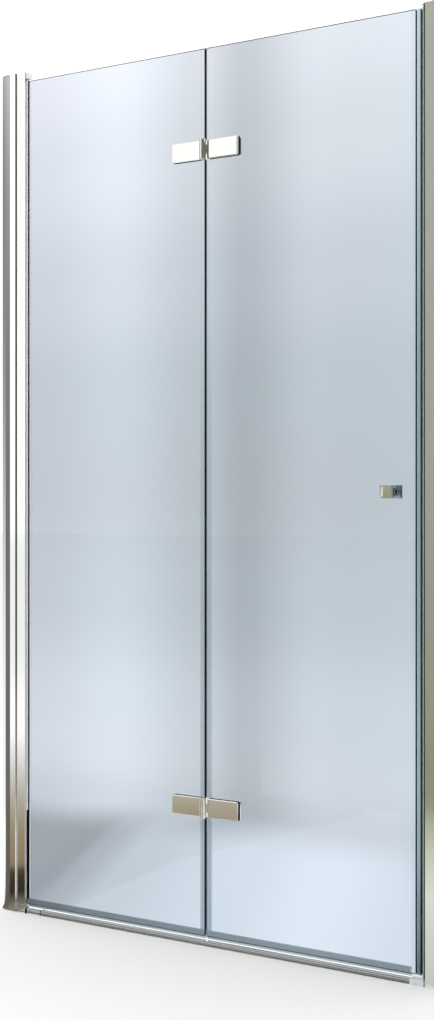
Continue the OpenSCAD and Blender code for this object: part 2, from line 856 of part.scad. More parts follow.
module stile_gasket() {
    y0 = -glass_t / 2 - wedge_t;
    color(black_rubber) {
        upright(stile_low, glass_top)
            plane_box([left_glass_x0, y0], [jaw_x + wedge_lip, -glass_t / 2]);
        upright(stile_low, boot_top)
            plane_box([jaw_x, -jaw_half_d - boot_t], [jaw_x + boot_t, y0 + lap]);
        upright(stile_low, boot_top)
            plane_box([jaw_x - boot_w, -jaw_half_d - boot_t], [jaw_x + lap, -jaw_half_d]);
    }
}

module top_pivot_pin() {
    pin_low = glass_top - pivot_pin_grip;
    color(steel)
        translate([pivot_x, 0, 0]) {
            translate([0, 0, pin_low])
                cylinder(r = pivot_pin_r, h = left_jamb_top - bush_floor - tip_gap - pin_low);
            translate([0, 0, glass_top])
                cylinder(d = collar_d, h = top_bush_low - end_gap - glass_top);
        }
}

module bottom_pivot_pin() {
    collar_z = bottom_block_h + bush_flange_t + end_gap;
    pin_low = bush_floor + tip_gap;
    color(steel)
        translate([pivot_x, 0, 0]) {
            translate([0, 0, pin_low])
                cylinder(r = pivot_pin_r, h = stile_low + pivot_pin_grip - pin_low);
            translate([0, 0, collar_z])
                cylinder(d = collar_d, h = collar_t);
        }
}

// Outline of a joint seal on a glass edge at x = 0, with the glass at negative x
module joint_seal_outline() {
    lip = joint_gap / 2 - joint_seal_gap / 2;
    plane_pair(-joint_seal_grip, lap, glass_t / 2, seal_half_d);
    plane_box([0, -seal_half_d], [lip, seal_half_d]);
}

module joint_seal() {
    for (span = joint_seal_spans)
        upright(span[0], span[1])
            joint_seal_outline();
}

module left_joint_seal() {
    color(clear_seal)
        translate([left_glass_x1, 0, 0])
            joint_seal();
}

module right_joint_seal() {
    color(clear_seal)
        translate([right_glass_x0, 0, 0])
            mirror([1, 0, 0])
                joint_seal();
}

// A drip seal along the lower edge of a leaf, with a fin that leans to the inside
module drip_seal(x0, x1) {
    fin_low = strip_h + drip_gap;
    color(clear_seal)
        translate([x0, 0, 0])
            rotate([90, 0, 90])
                linear_extrude(height = x1 - x0)
                    polygon([
                        [-seal_half_d, drip_seal_top],
                        [-seal_half_d, drip_clip_low],
                        [-drip_fin_t / 2, drip_clip_low],
                        [drip_lean - drip_fin_t / 2, fin_low],
                        [drip_lean + drip_fin_t / 2, fin_low],
                        [drip_fin_t / 2, drip_clip_low],
                        [seal_half_d, drip_clip_low],
                        [seal_half_d, drip_seal_top],
                        [glass_t / 2, drip_seal_top],
                        [glass_t / 2, glass_low],
                        [-glass_t / 2, glass_low],
                        [-glass_t / 2, drip_seal_top]
                    ]);
}

module left_drip_seal() {
    drip_seal(pivot_x + collar_d / 2 + end_gap, left_glass_x1 + drip_overrun);
}

module right_drip_seal() {
    drip_seal(right_glass_x0 - drip_overrun, right_glass_x1 - magnet_seal_grip - glass_play);
}

module leaf_magnet_seal() {
    edge_x = right_glass_x1;
    bridge_x1 = edge_x + seal_wall + magnet_bridge_w;
    head_x1 = bridge_x1 + magnet_head_w;
    head_half = magnet_head_d / 2;
    bridge_half = glass_t / 2;
    color(clear_seal)
        upright(glass_low, glass_top)
            difference() {
                union() {
                    plane_pair(edge_x - magnet_seal_grip, edge_x + lap, bridge_half, seal_half_d);
                    plane_pair(edge_x + lap, bridge_x1 + lap, bridge_half - seal_wall, bridge_half);
                    plane_box([edge_x, -seal_half_d], [edge_x + seal_wall, seal_half_d]);
                    plane_box([bridge_x1, -head_half], [head_x1, head_half]);
                }
                magnet_pocket(bridge_x1 + magnet_head_w / 2);
            }
}

module leaf_magnet_bar() {
    color(magnet_dark)
        magnet_bar(leaf_nose_x - magnet_head_w / 2, glass_low, glass_top);
}

// Drawn for the left leaf; the right leaf mirrors it about the hinge axis
module hinge_half(side, z) {
    translate([hinge_x, 0, z])
        mirror([side > 0 ? 1 : 0, 0, 0])
            children();
}

// The heights that a half's knuckles fill, as [low, high] about the hinge's centre
function knuckle_spans(side) =
    side < 0
        ? [[-plate_h / 2, -middle_knuckle_h / 2], [middle_knuckle_h / 2, plate_h / 2]]
        : [[-middle_knuckle_h / 2 + knuckle_gap, middle_knuckle_h / 2 - knuckle_gap]];

module hinge_plate(side, z) {
    boss_len = glass_t + hinge_gasket_t;
    bore_r = hinge_pin_d / 2 + (side < 0 ? snug : running_gap);
    color(chrome)
        hinge_half(side, z)
            difference() {
                union() {
                    block([-plate_len, plate_front_y, -plate_h / 2],
                          [-plate_start, plate_back_y, plate_h / 2]);
                    for (span = knuckle_spans(side))
                        translate([0, 0, span[0]]) {
                            translate([0, hinge_y, 0])
                                cylinder(r = barrel_r, h = span[1] - span[0]);
                            block([-plate_start - lap, hinge_y, 0],
                                  [0, plate_back_y - knuckle_foot_step, span[1] - span[0]]);
                        }
                    for (reach = [hinge_screw_near, hinge_screw_far])
                        translate([-reach, plate_back_y - lap, 0])
                            rotate([-90, 0, 0])
                                cylinder(d = boss_d, h = boss_len);
                }
                translate([0, hinge_y, -plate_h / 2 - over])
                    cylinder(r = bore_r, h = plate_h + 2 * over);
                for (reach = [hinge_screw_near, hinge_screw_far])
                    translate([-reach, plate_front_y + plate_skin, 0])
                        rotate([-90, 0, 0])
                            cylinder(r = hinge_screw_d / 2 + snug, h = boss_len + plate_t + over);
            }
}

module hinge_clamp(side, z) {
    color(chrome)
        hinge_half(side, z)
            difference() {
                block([-plate_len, clamp_y0, -plate_h / 2], [-plate_start, clamp_y1, plate_h / 2]);
                for (reach = [hinge_screw_near, hinge_screw_far])
                    translate([-reach, 0, 0])
                        rotate([-90, 0, 0]) {
                            cylinder(r = hinge_screw_d / 2 + snug, h = clamp_y1 + over);
                            translate([0, 0, clamp_y1 - hinge_screw_head_h])
                                cylinder(r = hinge_screw_head_d / 2 + loose_gap,
                                         h = hinge_screw_head_h + over);
                        }
            }
}

module hinge_gaskets(side, z) {
    color(black_rubber)
        hinge_half(side, z)
            for (layer = [[plate_back_y, 0], [glass_t / 2, gasket_rim]]) {
                y = layer[0];
                rim = layer[1];
                difference() {
                    block([-plate_len - rim, y, -plate_h / 2 - rim],
                          [-plate_start - gasket_setback, y + hinge_gasket_t, plate_h / 2 + rim]);
                    for (reach = [hinge_screw_near, hinge_screw_far])
                        translate([-reach, y - over, 0])
                            rotate([-90, 0, 0])
                                cylinder(r = boss_d / 2 + loose_gap, h = hinge_gasket_t + 2 * over);
                }
            }
}

module hinge_screws(side, z) {
    tip_y = plate_front_y + plate_skin + tip_gap;
    color(steel)
        hinge_half(side, z)
            for (reach = [hinge_screw_near, hinge_screw_far])
                translate([-reach, 0, 0])
                    rotate([-90, 0, 0])
                        difference() {
                            union() {
                                translate([0, 0, tip_y])
                                    cylinder(d = hinge_screw_d, h = clamp_y1 - tip_y);
                                translate([0, 0, clamp_y1 - hinge_screw_head_h])
                                    cylinder(d = hinge_screw_head_d, h = hinge_screw_head_h);
                            }
                            translate([0, 0, clamp_y1 - socket_depth])
                                cylinder(d = hex_socket_d, h = socket_depth + over, $fn = 6);
                        }
}

module hinge_pin(z) {
    color(chrome)
        translate([hinge_x, hinge_y, z]) {
            translate([0, 0, -plate_h / 2 - pin_button_h])
                cylinder(d = hinge_pin_d, h = plate_h + 2 * pin_button_h);
            for (end = [0, 1])
                mirror([0, 0, end])
                    translate([0, 0, plate_h / 2])
                        cylinder(r = barrel_r - pin_button_step, h = pin_button_h);
        }
}

module upper_hinge_left_plate() { hinge_plate(-1, upper_hinge_z); }
module upper_hinge_left_clamp() { hinge_clamp(-1, upper_hinge_z); }
module upper_hinge_left_gaskets() { hinge_gaskets(-1, upper_hinge_z); }
module upper_hinge_left_screws() { hinge_screws(-1, upper_hinge_z); }
module upper_hinge_pin() { hinge_pin(upper_hinge_z); }
module upper_hinge_right_plate() { hinge_plate(1, upper_hinge_z); }
module upper_hinge_right_clamp() { hinge_clamp(1, upper_hinge_z); }
module upper_hinge_right_gaskets() { hinge_gaskets(1, upper_hinge_z); }
module upper_hinge_right_screws() { hinge_screws(1, upper_hinge_z); }
module lower_hinge_left_plate() { hinge_plate(-1, lower_hinge_z); }
module lower_hinge_left_clamp() { hinge_clamp(-1, lower_hinge_z); }
module lower_hinge_left_gaskets() { hinge_gaskets(-1, lower_hinge_z); }
module lower_hinge_left_screws() { hinge_screws(-1, lower_hinge_z); }
module lower_hinge_pin() { hinge_pin(lower_hinge_z); }
module lower_hinge_right_plate() { hinge_plate(1, lower_hinge_z); }
module lower_hinge_right_clamp() { hinge_clamp(1, lower_hinge_z); }
module lower_hinge_right_gaskets() { hinge_gaskets(1, lower_hinge_z); }
module lower_hinge_right_screws() { hinge_screws(1, lower_hinge_z); }

// One outline of the head, with its bevel; reach runs away from the glass along y
module knob_head_outline() {
    half = knob_head / 2;
    polygon([
        [-half, knob_reach - knob_head_t],
        [half, knob_reach - knob_head_t],
        [half, knob_reach - knob_bevel_t],
        [half - knob_bevel_w, knob_reach],
        [-half + knob_bevel_w, knob_reach],
        [-half, knob_reach - knob_bevel_t]
    ]);
}

// A knob on the inner side of a glass face at y = 0
module knob() {
    difference() {
        union() {
            intersection() {
                translate([0, 0, -knob_head / 2])
                    linear_extrude(height = knob_head)
                        knob_head_outline();
                rotate([0, 90, 0])
                    translate([0, 0, -knob_head / 2])
                        linear_extrude(height = knob_head)
                            knob_head_outline();
            }
            translate([0, knob_washer_t, 0])
                rotate([-90, 0, 0]) {
                    cylinder(d = knob_neck_d, h = knob_reach - knob_head_t - knob_washer_t + lap);
                    cylinder(d = knob_base_d, h = knob_base_t);
                }
        }
        rotate([-90, 0, 0])
            cylinder(r = knob_stud_d / 2 + snug, h = knob_stud_grip + tip_gap);
    }
}

module inside_knob() {
    color(chrome)
        translate([knob_x, glass_t / 2, knob_z])
            knob();
}

module outside_knob() {
    color(chrome)
        translate([knob_x, -glass_t / 2, knob_z])
            mirror([0, 1, 0])
                knob();
}

module knob_stud() {
    half = glass_t / 2 + knob_stud_grip;
    color(steel)
        translate([knob_x, -half, knob_z])
            rotate([-90, 0, 0])
                cylinder(d = knob_stud_d, h = 2 * half);
}

module knob_washers() {
    color(white_plastic)
        for (side = [0, 1])
            mirror([0, side, 0])
                translate([knob_x, glass_t / 2, knob_z])
                    rotate([-90, 0, 0])
                        difference() {
                            cylinder(d = knob_base_d, h = knob_washer_t);
                            translate([0, 0, -over])
                                cylinder(r = knob_stud_d / 2 + loose_gap, h = knob_washer_t + 2 * over);
                        }
}

left_wall_channel();
left_jamb_profile();
left_jamb_cap();
left_jamb_foot();
left_profile_screws();
top_pivot_block();
top_pivot_bush();
top_block_screws();
bottom_pivot_block();
bottom_pivot_bush();
bottom_block_screw();
bottom_block_pads();
threshold_strip();
threshold_end_cap();
right_wall_channel();
right_jamb_profile();
right_jamb_cap();
right_profile_screws();
jamb_magnet_strip();
jamb_magnet_bar();
left_glass();
pivot_stile();
stile_gasket();
top_pivot_pin();
bottom_pivot_pin();
left_joint_seal();
left_drip_seal();
upper_hinge_left_plate();
upper_hinge_left_clamp();
upper_hinge_left_gaskets();
upper_hinge_left_screws();
upper_hinge_pin();
lower_hinge_left_plate();
lower_hinge_left_clamp();
lower_hinge_left_gaskets();
lower_hinge_left_screws();
lower_hinge_pin();
right_glass();
right_joint_seal();
right_drip_seal();
leaf_magnet_seal();
leaf_magnet_bar();
upper_hinge_right_plate();
upper_hinge_right_clamp();
upper_hinge_right_gaskets();
upper_hinge_right_screws();
lower_hinge_right_plate();
lower_hinge_right_clamp();
lower_hinge_right_gaskets();
lower_hinge_right_screws();
outside_knob();
inside_knob();
knob_stud();
knob_washers();
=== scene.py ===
# %% [markdown]
# # A folding glass shower door
#
# Two clear glass leaves hang between two wall jambs.
# The left leaf turns in a round seat along the left jamb, and the right leaf folds against it
# on two hinges.
# This lesson dresses the door: it rounds the edges that a hand or a polishing wheel would round,
# grinds the glass, and gives every piece the finish that it has on the real door.
# All lengths are in metres, in the frame of the door's own solids.

# %% Load the door
import json
import math

import bmesh
import bpy
from mathutils import Matrix, Vector

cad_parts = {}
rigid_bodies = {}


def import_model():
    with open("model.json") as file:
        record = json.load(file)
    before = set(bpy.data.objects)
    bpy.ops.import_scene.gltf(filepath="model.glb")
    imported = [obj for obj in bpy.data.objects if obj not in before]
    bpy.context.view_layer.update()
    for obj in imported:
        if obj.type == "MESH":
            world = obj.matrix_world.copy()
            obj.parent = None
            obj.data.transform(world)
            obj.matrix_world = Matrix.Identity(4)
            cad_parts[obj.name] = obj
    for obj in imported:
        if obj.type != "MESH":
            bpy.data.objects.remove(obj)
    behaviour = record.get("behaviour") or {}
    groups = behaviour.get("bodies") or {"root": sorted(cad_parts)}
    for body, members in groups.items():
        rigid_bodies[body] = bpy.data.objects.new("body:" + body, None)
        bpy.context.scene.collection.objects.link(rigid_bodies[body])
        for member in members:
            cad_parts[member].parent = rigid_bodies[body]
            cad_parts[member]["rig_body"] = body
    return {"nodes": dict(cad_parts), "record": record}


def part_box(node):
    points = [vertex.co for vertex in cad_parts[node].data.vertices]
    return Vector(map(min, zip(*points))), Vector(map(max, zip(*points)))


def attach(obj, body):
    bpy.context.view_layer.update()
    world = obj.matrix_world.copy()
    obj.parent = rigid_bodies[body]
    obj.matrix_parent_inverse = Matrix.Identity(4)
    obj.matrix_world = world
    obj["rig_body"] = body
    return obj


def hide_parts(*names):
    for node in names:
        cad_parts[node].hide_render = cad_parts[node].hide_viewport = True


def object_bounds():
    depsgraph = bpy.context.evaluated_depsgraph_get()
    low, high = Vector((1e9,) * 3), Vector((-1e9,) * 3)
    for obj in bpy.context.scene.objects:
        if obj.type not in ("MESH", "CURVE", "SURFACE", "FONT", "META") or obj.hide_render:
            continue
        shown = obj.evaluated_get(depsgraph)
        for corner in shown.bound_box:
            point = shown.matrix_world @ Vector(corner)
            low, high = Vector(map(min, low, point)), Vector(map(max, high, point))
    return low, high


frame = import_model()
solid_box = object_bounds()
nodes = frame["nodes"]
scene = bpy.context.scene
print(f"The door has {len(nodes)} pieces and is {solid_box[1].z - solid_box[0].z:.3f} m tall")

# %% [markdown]
# ## The camera
#
# The photograph was taken at chest height from the right of the doorway, with the camera held
# level.
# A level camera keeps every upright edge upright in the picture, so the framing is trimmed with a
# small shift and not with a tilt.
# The two vanishing points of the door give the direction and the lens.

# %% Camera
PICTURE_HEIGHT = 1020      # pixels
HORIZON_ABOVE_MIDDLE = 12  # pixels
FOCAL_LENGTH = 1598.6      # pixels
SENSOR_SIZE = 36.0         # millimetres, along the picture's long side
CAMERA_PLACE = (1.8546, -2.7886, 0.9385)
CAMERA_TURN = 33.37        # degrees to the left of straight in
QUARTER_TURN = math.radians(90)

camera_data = bpy.data.cameras.new("camera")
camera_data.sensor_width = SENSOR_SIZE
camera_data.lens = FOCAL_LENGTH * SENSOR_SIZE / PICTURE_HEIGHT
camera_data.shift_y = -HORIZON_ABOVE_MIDDLE / PICTURE_HEIGHT
camera = bpy.data.objects.new("camera", camera_data)
camera.location = CAMERA_PLACE
camera.rotation_euler = (QUARTER_TURN, 0, math.radians(CAMERA_TURN))
scene.collection.objects.link(camera)
scene.camera = camera
print(f"The lens is {camera_data.lens:.1f} mm")

# %% [markdown]
# ## Floor and light
#
# The door stands on a plain pale floor under an even white sky, like a product on a lit sweep.
# The floor is one large sheet of matt paint, so it takes soft shade and mirrors nothing.
# The standard view is used, because it keeps white as white.

# %% Floor paint
FLOOR_GREY = 0.79
NO_MIRROR = {"Specular IOR Level": 0.0}


def surface_of(material):
    """The surface shader of a material."""
    return material.node_tree.nodes["Principled BSDF"]


def start_finish(name, colour, roughness, settings=None):
    """A new material with a plain colour and roughness, and other constants of its shader."""
    material = bpy.data.materials.new(name)
    material.use_nodes = True
    surface = surface_of(material)
    surface.inputs["Base Color"].default_value = (*colour, 1)
    surface.inputs["Roughness"].default_value = roughness
    for socket, value in (settings or {}).items():
        surface.inputs[socket].default_value = value
    return material


floor_paint = start_finish("floor paint", (FLOOR_GREY,) * 3, roughness=0.9, settings=NO_MIRROR)
print(f"The floor paint is a matt grey of {FLOOR_GREY}")

# %% Floor
FLOOR_WIDTH = 60


def flat_sheet(name, corners, material):
    """A flat sheet with its corners in x and y, that is scenery and not a piece of the door."""
    mesh = bpy.data.meshes.new(name)
    mesh.from_pydata([(x, y, 0) for x, y in corners], [], [range(len(corners))])
    mesh.materials.append(material)
    sheet = bpy.data.objects.new(name, mesh)
    scene.collection.objects.link(sheet)
    return sheet


def centred(width, depth):
    """Corners of a rectangle round the origin."""
    x, y = width / 2, depth / 2
    return [(-x, -y), (x, -y), (x, y), (-x, y)]


flat_sheet("floor", centred(FLOOR_WIDTH, FLOOR_WIDTH), floor_paint)
print(f"The floor is {FLOOR_WIDTH} m square, so its edges lie far from the door")

# %% Sky
SKY_STRENGTH = 1.2
WHITE = (1, 1, 1)

scene.view_settings.view_transform = "Standard"
sky = bpy.data.worlds.new("sky")
sky.use_nodes = True
sky_light = sky.node_tree.nodes["Background"]
sky_light.inputs["Color"].default_value = (*WHITE, 1)
sky_light.inputs["Strength"].default_value = SKY_STRENGTH
scene.world = sky
print(f"The sky is an even white of strength {SKY_STRENGTH}")

# %% [markdown]
# A single large soft lamp above the front left gives the floor a little more light than the sky
# alone.
# It is kept out of mirror reflections, because a lit square in the glass would draw the eye.

# %% Lamp
LAMP_PLACE = Vector((-1.6, -3.2, 3.6))
LAMP_TARGET = Vector((0, 0, 0.9))
LAMP_SIZE = 2.4
LAMP_WATTS = 60

lamp_data = bpy.data.lights.new("key lamp", "AREA")
lamp_data.size = LAMP_SIZE
lamp_data.energy = LAMP_WATTS
lamp = bpy.data.objects.new("key lamp", lamp_data)
lamp.location = LAMP_PLACE
lamp.rotation_euler = (LAMP_TARGET - LAMP_PLACE).to_track_quat("-Z", "Y").to_euler()
lamp.visible_glossy = False
lamp.visible_transmission = False
scene.collection.objects.link(lamp)
print(f"One soft lamp, {LAMP_SIZE} m square")


# %% [markdown]
# ## Cards for the mirrors and the glass
#
# Polished metal shows what stands round it.
# In a studio, grey cards beside and behind the camera give bright metal its darker stretches, and
# a warm patch on the floor gives the foot of a jamb a brown tone.
# Clear glass shows only what is behind it, so a pale blue-grey card stands behind the leaves.
#
# A card could be painted and lit, but then its tone would depend on the lamp.
# Here each card glows by itself, and a colour ramp sets the glow along its height or its length.

# %% Ramps of tones
def blend_of_tones(tree, factor, tones, interpolation="EASE"):
    """A colour ramp over a factor from 0 to 1; tones are (position, colour) pairs."""
    ramp = tree.nodes.new("ShaderNodeValToRGB")
    ramp.color_ramp.interpolation = interpolation
    for position, colour in tones[1:-1]:
        ramp.color_ramp.elements.new(position)
    for stop, (position, colour) in zip(ramp.color_ramp.elements, tones):
        stop.position = position
        stop.color = (*colour, 1)
    tree.links.new(factor, ramp.inputs["Fac"])
    return ramp.outputs["Color"]


def placed(tree):
    """Where a point lies on its piece or card, from 0 to 1 along each of X, Y and Z."""
    place = tree.nodes.new("ShaderNodeTexCoord")
    split = tree.nodes.new("ShaderNodeSeparateXYZ")
    tree.links.new(place.outputs["Generated"], split.inputs[0])
    return split.outputs


def blended(tree, first, second, factor=None):
    """Two colours blended by a factor, or multiplied when there is none."""
    mix = tree.nodes.new("ShaderNodeMixRGB")
    mix.blend_type = "MIX" if factor else "MULTIPLY"
    mix.inputs["Fac"].default_value = 1.0
    for socket, colour in (("Color1", first), ("Color2", second)):
        if isinstance(colour, tuple):
            mix.inputs[socket].default_value = (*colour, 1)
        else:
            tree.links.new(colour, mix.inputs[socket])
    if factor:
        tree.links.new(factor, mix.inputs["Fac"])
    return mix.outputs["Color"]


print("Tones can run along a ramp, blend and multiply")


# %% Glows
BLACK = (0, 0, 0)


def glowing(name):
    """A material that only glows, with its node tree and its colour socket."""
    material = bpy.data.materials.new(name)
    material.use_nodes = True
    tree = material.node_tree
    tree.nodes.clear()
    glow = tree.nodes.new("ShaderNodeEmission")
    output = tree.nodes.new("ShaderNodeOutputMaterial")
    tree.links.new(glow.outputs["Emission"], output.inputs["Surface"])
    return material, tree, glow.inputs["Color"]


def glow_up(name, tones, soft_sides=None):
    """A glow that changes with height, and that can fade to the sky's white at its sides."""
    material, tree, colour = glowing(name)
    place = placed(tree)
    tone = blend_of_tones(tree, place["Y"], tones, "B_SPLINE")
    if soft_sides:
        start, end = soft_sides
        sides = [(0, BLACK), (start, WHITE), (end, WHITE), (1, BLACK)]
        tone = blended(tree, (SKY_STRENGTH,) * 3, tone, blend_of_tones(tree, place["X"], sides))
    tree.links.new(tone, colour)
    return material


def glow_around(name, tones, reach):
    """A glow that changes with the distance from the card's origin, out to a reach."""
    material, tree, colour = glowing(name)
    place = tree.nodes.new("ShaderNodeTexCoord")
    length = tree.nodes.new("ShaderNodeVectorMath")
    length.operation = "LENGTH"
    share = tree.nodes.new("ShaderNodeMath")
    share.operation = "DIVIDE"
    share.inputs[1].default_value = reach
    tree.links.new(place.outputs["Object"], length.inputs[0])
    tree.links.new(length.outputs["Value"], share.inputs[0])
    tree.links.new(blend_of_tones(tree, share.outputs[0], tones, "LINEAR"), colour)
    return material


print("A glow can change with height or with distance")


# %% [markdown]
# A card that stood in the picture would spoil its white surround.
# So each card is seen by one kind of ray alone: by the glossy rays of the metal, or by the rays
# that pass through the glass.

# %% Cards that only a mirror or the glass can see
def show_only_in(card, kind):
    """Shows a card to one kind of ray alone: "glossy" or "transmission"."""
    for ray in ("camera", "diffuse", "shadow", "glossy", "transmission"):
        setattr(card, f"visible_{ray}", ray == kind)


def upright_card(name, width, height, place, turn, material):
    """A card that stands on the floor at a place, turned about z by an angle in degrees."""
    card = flat_sheet(name, centred(width, height), material)
    card.rotation_euler = (QUARTER_TURN, 0, math.radians(turn))
    card.location = (*place, height / 2)
    return card


print("A card is hidden from the camera and casts no shade")

# %% [markdown]
# The front card gives the right jamb and the knob their olive grey, and the two side cards shade
# the swept face of the left jamb.
# The dark cards stand where the unlit end of a studio would be: they draw the dark line along the
# right edge of every hinge plate and the olive middle of the round knuckles.

# %% Tones of the upright cards
FRONT_TONES = [(0.00, (0.25, 0.26, 0.16)), (0.12, (0.30, 0.31, 0.23)),
               (0.40, (0.37, 0.37, 0.30)), (1.00, (0.46, 0.48, 0.40))]
FRONT_SOFT_SIDES = (0.38, 0.78)
SIDE_TONES = [(0.00, (0.15, 0.15, 0.14)), (0.26, (0.155, 0.155, 0.15)),
              (0.48, (0.21, 0.21, 0.21)), (0.72, (0.32, 0.32, 0.33)),
              (0.86, (0.56, 0.56, 0.56)), (1.00, (0.9, 0.9, 0.9))]
NEAR_SIDE_TONES = [(0.00, (1.15, 1.15, 1.15)), (0.24, (0.86, 0.86, 0.86)),
                   (0.46, (0.3, 0.3, 0.3)), (0.70, (0.22, 0.22, 0.23)),
                   (0.84, (0.42, 0.42, 0.42)), (1.00, (0.9, 0.9, 0.9))]
SHADE_TONES = [(0.00, (0.15, 0.15, 0.11)), (1.00, (0.17, 0.17, 0.13))]
REAR_TONES = [(0.00, (0.03, 0.03, 0.03)), (1.00, (0.04, 0.04, 0.045))]
print("Five ramps of tones, from the floor up")

# %% Cards seen in the metal
SIDE_X = -1.6
LOW_CARD, HIGH_CARD = 2.6, 3.4
METAL_CARDS = {  # width, height, place on the floor, turn in degrees, name of the glow, tones
    "front card": (0.92, 2.7, (-0.34, -1.5), 0, "olive greys", FRONT_TONES, FRONT_SOFT_SIDES),
    "side card": (0.69, LOW_CARD, (SIDE_X, -0.725), 90, "side greys", SIDE_TONES),
    "near side card": (0.53, LOW_CARD, (SIDE_X, -0.115), 90, "near side greys", NEAR_SIDE_TONES),
    "shade card": (3.3, HIGH_CARD, (1.8, -3.3), 0, "shade olives", SHADE_TONES),
    "right card": (4.2, HIGH_CARD, (3.45, -1.2), 90, "right olives", SHADE_TONES),
    "rear card": (1.6, LOW_CARD, (1.4, 1.4), 0, "near blacks", REAR_TONES),
}
for name, (width, height, place, turn, *glow) in METAL_CARDS.items():
    show_only_in(upright_card(name, width, height, place, turn, glow_up(*glow)), "glossy")
print(f"{len(METAL_CARDS)} upright cards for the metal")

# %% [markdown]
# A jamb shows the floor stretched upwards, so a patch that grows lighter with distance becomes a
# jamb that is dark brown at the foot, tan above it, and white higher up.
# The patch at the right jamb is lighter, and the one for the swept face is plain grey.
# A wide olive patch carries the shade of the dark cards across the floor.

# %% Tones of the floor patches
FOOT_TONES = [
    (0.00, (0.30, 0.29, 0.25)),
    (0.04, (0.15, 0.14, 0.09)),
    (0.07, (0.035, 0.026, 0.014)),
    (0.15, (0.055, 0.04, 0.022)),
    (0.17, (0.28, 0.21, 0.14)),
    (0.32, (0.33, 0.27, 0.17)),
    (0.48, (0.46, 0.42, 0.34)),
    (0.84, (0.88, 0.88, 0.87)),
    (1.00, (1.10, 1.10, 1.10)),
]
SWEPT_TONES = [(0.00, (0.12, 0.12, 0.105)), (1.00, (0.155, 0.15, 0.135))]
RIGHT_TONES = [(0.00, (0.6, 0.62, 0.53)), (0.42, (0.75, 0.78, 0.66)),
               (0.75, (0.58, 0.6, 0.47)), (1.00, (0.4, 0.41, 0.29))]
SHADED_FLOOR_TONES = [(0.00, (0.46, 0.44, 0.36)), (1.00, (0.36, 0.34, 0.27))]
print("Four ramps of tones, from the foot of a jamb outwards")

# %% Floor patches seen in the metal
LEFT_FOOT_INSET, RIGHT_FOOT_INSET = 0.08, 0.063
PATCH_LIFT = 0.002

left_foot = (solid_box[0].x + LEFT_FOOT_INSET, solid_box[0].y, PATCH_LIFT)
right_foot = (solid_box[1].x - RIGHT_FOOT_INSET, solid_box[0].y, PATCH_LIFT)
foot_corners = [(-0.055, 0.05), (-2.75, -2.6), (-2.2, -4.0), (-0.5, -4.0), (0.1, -1.35),
                (-0.02, -0.6), (0.05, 0.0), (0.05, 0.05)]
swept_corners = [(-0.09, 0.02), (-2.7, -1.0), (-2.75, -2.6), (-0.055, 0.02)]
right_corners = [(0.1, 0), (-0.05, 0), (-0.8, -1.45), (0.1, -1.45)]
shade_corners = [(-0.35, -1.47), (0.1, -0.7), (2.95, -0.2), (2.95, -3.3), (-0.35, -3.3)]
FLOOR_PATCHES = {  # origin, corners round it, name of the glow, tones, reach of the tones
    "foot patch": (left_foot, foot_corners, "warm floor tones", FOOT_TONES, 2.8),
    "swept patch": (left_foot, swept_corners, "grey floor tones", SWEPT_TONES, 2.8),
    "right patch": (right_foot, right_corners, "olive floor tones", RIGHT_TONES, 1.6),
    "shade patch": (right_foot, shade_corners, "shaded floor tones", SHADED_FLOOR_TONES, 4.0),
}
for name, (origin, corners, *glow) in FLOOR_PATCHES.items():
    patch = flat_sheet(name, corners, glow_around(*glow))
    patch.location = origin
    show_only_in(patch, "glossy")
print(f"{len(FLOOR_PATCHES)} floor patches for the metal")

# %% [markdown]
# The ribs of the threshold strip show as dark and light lines, because polished ribs mirror the
# narrow shaded stretch of floor in front of them.
# The stretch follows the strip from the bottom pivot block to the right end, and it is darkest
# right at the strip.

# %% Shaded stretch in front of the strip
SILL_TONES = [(0.00, (0.52, 0.53, 0.52)), (0.60, (0.45, 0.46, 0.45)), (0.88, (0.38, 0.385, 0.37)),
              (0.94, (0.05, 0.05, 0.045)), (1.00, (0.02, 0.02, 0.018))]
SILL_DEPTH = 0.06
SILL_SPLAY = 0.01
SILL_LIFT = 0.003

strip_low, strip_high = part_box("threshold_strip")
block_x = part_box("bottom_pivot_block")[0].x
sill_front = strip_low.y - SILL_DEPTH
sill_corners = [(block_x - SILL_SPLAY, sill_front), (strip_high.x, sill_front),
                (strip_high.x, strip_low.y), (block_x, strip_low.y)]
sill_card = flat_sheet("sill card", sill_corners, glow_up("sill shade", SILL_TONES))
sill_card.location.z = SILL_LIFT
show_only_in(sill_card, "glossy")
print(f"The shaded stretch is {strip_high.x - block_x:.2f} m long")

# %% [markdown]
# Behind the glass stands a tall pale card, a little darker at eye height and behind the joint,
# like a softly lit backdrop.
# Its tone up the card is multiplied by its tone along the card.

# %% Tall card seen through the glass
TALL_TONES = [
    (0.00, (0.70, 0.75, 0.82)),
    (0.04, (0.77, 0.82, 0.89)),
    (0.10, (0.74, 0.80, 0.87)),
    (0.20, (0.64, 0.70, 0.76)),
    (0.30, (0.60, 0.65, 0.71)),
    (0.40, (0.61, 0.67, 0.73)),
    (0.50, (0.70, 0.75, 0.83)),
    (0.62, (0.85, 0.89, 0.96)),
    (0.72, (0.98, 1.00, 1.08)),
    (1.00, (1.10, 1.11, 1.17)),
]
TALL_SHARES = [
    (0.35, (0.84, 0.83, 0.83)),
    (0.40, (0.86, 0.85, 0.85)),
    (0.47, (0.98, 0.98, 0.98)),
    (0.54, (0.77, 0.77, 0.76)),
    (0.57, (0.61, 0.62, 0.62)),
    (0.63, (0.87, 0.87, 0.86)),
    (0.70, (0.88, 0.89, 0.88)),
]
TALL_WIDTH, TALL_HEIGHT, TALL_X, TALL_Y = 4.6, 3.2, -1.0, 1.2

